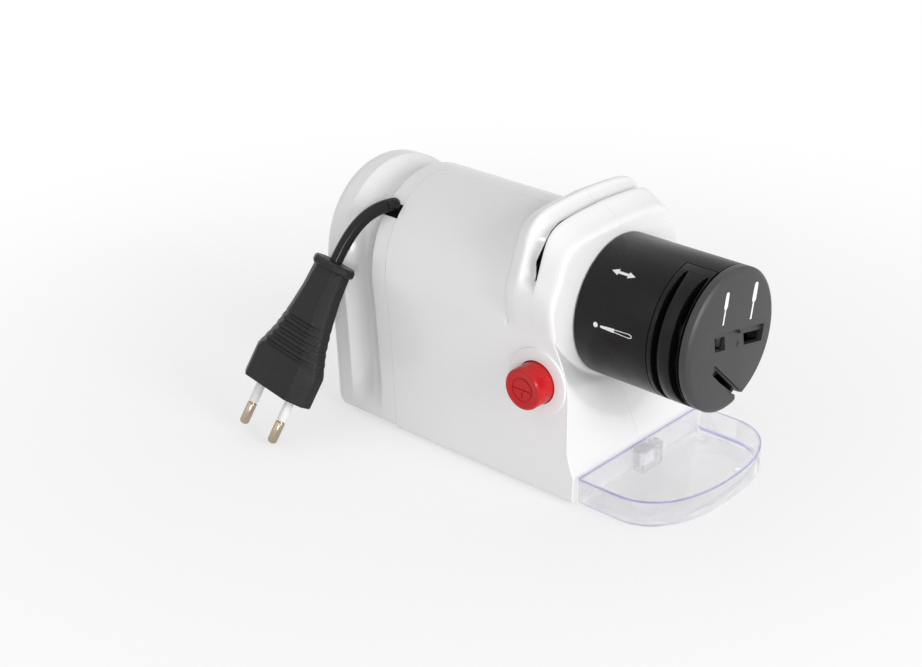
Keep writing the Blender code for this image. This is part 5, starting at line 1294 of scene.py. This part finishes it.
# Feet: four black rubber discs, pressed into recesses under the housing.
foot_rubber = moulded("foot_rubber", (0.03, 0.03, 0.03), (0.045, 0.045, 0.045), 0.7, 0.1, 1500.0, 0.4)
for label, x in (("front", foot_places[0]), ("rear", foot_places[1])):
    for side_label, side in (("near", -1), ("far", 1)):
        bm = bmesh.new()
        add_bar(bm, foot_radius, nose + Vector((x, side * foot_y, 0.0)),
                nose + Vector((x, side * foot_y, foot_height)), hole_steps)
        soften(bm, foot_edge, 3)
        shown(f"rubber_foot_{label}_{side_label}", meshed("rubber_foot", bm), foot_rubber,
              "housing", "foot_rubber", f"foot_{label}_{side_label}")

# Grinding wheels: bonded grit on the motor's spindle, one under the blade
# groove and one in the drum, with a steel spacer, a washer and a nut.
# The grit's brown is painted darker than its own: painted shade for the dark inside of the drum seen through
# the ports.
grit_painted_dark = moulded("grit_painted_dark", (0.075, 0.055, 0.046), (0.13, 0.095, 0.078), 0.85, 0.1, 2200.0, 1.0, 400.0)
spindle_bore = 0.0033
head_wheel_x = (-0.0174, -0.0094)
head_wheel_radius = 0.0200
head_wheel_edge = 0.0004
drum_wheel_x = (0.0365, 0.0462)
drum_wheel_radius = 0.0180
drum_wheel_edge = 0.0002
wheel_bevel = 0.0022
outline = box_outline(*head_wheel_x, spindle_bore, head_wheel_radius)
shown("grit_wheel_head", turned("grit_wheel_head", outline, round_steps, at_shaft, head_wheel_edge),
      grit_painted_dark,
      "rotor", "abrasive", "head_wheel")
low, high = drum_wheel_x
inner = drum_wheel_radius - wheel_bevel
outline = [(low, spindle_bore), (high, spindle_bore), (high, inner), (high - wheel_bevel, drum_wheel_radius),
           (low + wheel_bevel, drum_wheel_radius), (low, inner)]
shown("grit_wheel_drum", turned("grit_wheel_drum", outline, round_steps, at_shaft, drum_wheel_edge),
      grit_painted_dark,
      "rotor", "abrasive", "drum_wheel")

# Finishes of the pieces inside: bright steel for the screws, spindle, can and
# bearings, then the motor's copper, bronze, magnets and brushes, and nylon.
steel = moulded("turned_steel", (0.50, 0.49, 0.48), (0.60, 0.59, 0.57), 0.26, 0.12, 1800.0, 0.15,
                metallic=1.0)
copper = moulded("wound_copper", (0.62, 0.25, 0.10), (0.72, 0.34, 0.16), 0.28, 0.1, 2600.0, 0.8, metallic=1.0)
bronze = moulded("sintered_bronze", (0.44, 0.29, 0.12), (0.52, 0.37, 0.18), 0.45, 0.1, 3500.0, 0.3,
                 metallic=1.0)
ferrite = moulded("ferrite", (0.035, 0.035, 0.038), (0.05, 0.05, 0.053), 0.6, 0.1, 2500.0, 0.4)
carbon = moulded("brush_carbon", (0.02, 0.02, 0.02), (0.03, 0.03, 0.03), 0.55, 0.1, 2500.0, 0.3)
black_nylon = moulded("black_nylon", (0.02, 0.02, 0.021), (0.03, 0.03, 0.031), 0.42, 0.08, 2200.0, 0.25)
natural_nylon = moulded("natural_nylon", (0.66, 0.65, 0.61), (0.60, 0.59, 0.55), 0.4, 0.08, 1200.0, 0.1)

# The pieces that keep the shape of the CAD: each gets the finish of the real
# one's material.
kept = {
    steel: [f"{place}_screw_{i}" for place in ("housing", "neck") for i in (1, 2, 3, 4)] + [
            "cover_screw_near", "cover_screw_far", "motor_screw_near", "motor_screw_far", "motor_can",
            "bearing_front", "bearing_rear", "motor_shaft",
            "armature_core", "wheel_spacer", "wheel_washer", "wheel_nut"],
    copper: ["winding_front", "winding_rear", "commutator"],
    bronze: ["neck_bush"],
    ferrite: ["magnet_near", "magnet_far"],
    carbon: ["brush_near", "brush_far"],
    black_nylon: ["motor_end_bell", "cooling_fan", "neck_ring", "turn_ring", "switch_body"],
    natural_nylon: ["terminal_block", "switch_plunger"],
    sheath: ["inner_lead", "cord_gland"],
}
for finish, names in kept.items():
    for name in names:
        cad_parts[name].material_slots[0].material = finish

# The spring that pushes the button out: steel wire wound cold, set between the
# button's flange and the switch.
spring_low, spring_high = (Vector(corner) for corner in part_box("button_spring"))
spring_wire = 0.0004
spring_turns = 5
spring_steps = 24
wire_steps = 8
spring_radius = (spring_high.x - spring_low.x) / 2 - spring_wire
spring_length = spring_high.y - spring_low.y
spring_axis = (spring_low + spring_high) / 2
angles = [math.tau * j / wire_steps for j in range(wire_steps)]
rings = []
for i in range(spring_turns * spring_steps + 1):
    turned_by = math.tau * i / spring_steps
    outward = Vector((math.cos(turned_by), 0, math.sin(turned_by)))
    share = i / (spring_turns * spring_steps)
    y = spring_low.y + spring_wire + (spring_length - 2 * spring_wire) * share
    centre = Vector((spring_axis.x, y, spring_axis.z)) + outward * spring_radius
    rings.append([centre + (outward * math.cos(angle) + Vector((0, math.sin(angle), 0))) * spring_wire
                  for angle in angles])
bm = bmesh.new()
close_ends(bm, *grow(bm, rings))
spring = shown("return_spring", meshed("return_spring", bm), steel, "housing", "steel", "button_spring")
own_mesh(spring)

# Studio: a white sweep, a soft lamp on each side, a small one in front and a
# weak one above.
floor_size = 8.0
floor_fade = (0.05, 0.42)
floor_glow = (0.55, 1.0)
world_light = 0.52
lamp_aim = Vector((0.0, 0.0, 0.05))
lamps = (
    ("lamp_near", (-0.35, -1.05, 0.75), 0.9, 1.2, (1.0, 0.98, 0.96)),
    ("lamp_drum", (1.15, -0.10, 0.42), 0.6, 8.8, (1.0, 0.995, 0.985)),
    ("lamp_front", (0.66, -0.92, 0.36), 0.16, 2.8, (1.0, 1.0, 1.0)),
    ("lamp_above", (-0.10, 0.35, 1.20), 1.0, 0.8, (0.96, 0.97, 1.0)),
)


def background_rays(tree):
    """A mask for the camera's rays, and for those that glass and gloss send on."""
    path = new_node(tree, "LightPath").outputs
    mask = path["Is Camera Ray"]
    for label in ("Is Transmission Ray", "Is Glossy Ray"):
        mask = new_node(tree, "Math", {0: mask, 1: path[label]}, operation="MAXIMUM").outputs["Value"]
    return mask


bm = bmesh.new()
bmesh.ops.create_grid(bm, x_segments=1, y_segments=1, size=floor_size / 2)
floor = bpy.data.objects.new("floor", meshed("floor", bm))
bpy.context.scene.collection.objects.link(floor)
paper = bpy.data.materials.new("white_paper")
paper.use_nodes = True
tree = paper.node_tree
shader = tree.nodes["Principled BSDF"]
shader.inputs["Base Color"].default_value = (0.93, 0.93, 0.935, 1.0)
shader.inputs["Roughness"].default_value = 0.9
shader.inputs["Specular IOR Level"].default_value = 0.0
glow = new_node(tree, "Emission", {"Color": (1.0, 1.0, 1.0, 1.0)})
place = new_node(tree, "TexCoord").outputs["Object"]
distance = new_node(tree, "VectorMath", {0: place}, operation="LENGTH").outputs["Value"]
fade = new_node(tree, "MapRange", {
    "Value": distance, "From Min": floor_fade[0], "From Max": floor_fade[1],
    "To Min": floor_glow[0], "To Max": floor_glow[1],
}, interpolation_type="SMOOTHSTEP").outputs["Result"]
glow_share = new_node(tree, "Math", {0: background_rays(tree), 1: fade},
                      operation="MULTIPLY").outputs["Value"]
blend = new_node(tree, "MixShader", {0: glow_share, 1: shader.outputs["BSDF"], 2: glow.outputs["Emission"]})
tree.links.new(blend.outputs["Shader"], tree.nodes["Material Output"].inputs["Surface"])
floor.data.materials.append(paper)

world = bpy.data.worlds.new("studio")
bpy.context.scene.world = world
world.use_nodes = True
tree = world.node_tree
background = tree.nodes["Background"]
background.inputs["Color"].default_value = (1.0, 1.0, 1.0, 1.0)
strength = new_node(tree, "MapRange", {"Value": background_rays(tree), "To Min": world_light, "To Max": 1.0})
tree.links.new(strength.outputs["Result"], background.inputs["Strength"])

for name, place, size, power, colour in lamps:
    data = bpy.data.lights.new(name, "AREA")
    data.shape = "SQUARE"
    data.size = size
    data.energy = power
    data.color = colour
    lamp = bpy.data.objects.new(name, data)
    lamp.location = place
    lamp.rotation_euler = (lamp_aim - Vector(place)).to_track_quat("-Z", "Y").to_euler()
    bpy.context.scene.collection.objects.link(lamp)
bpy.context.scene.view_settings.view_transform = "Standard"
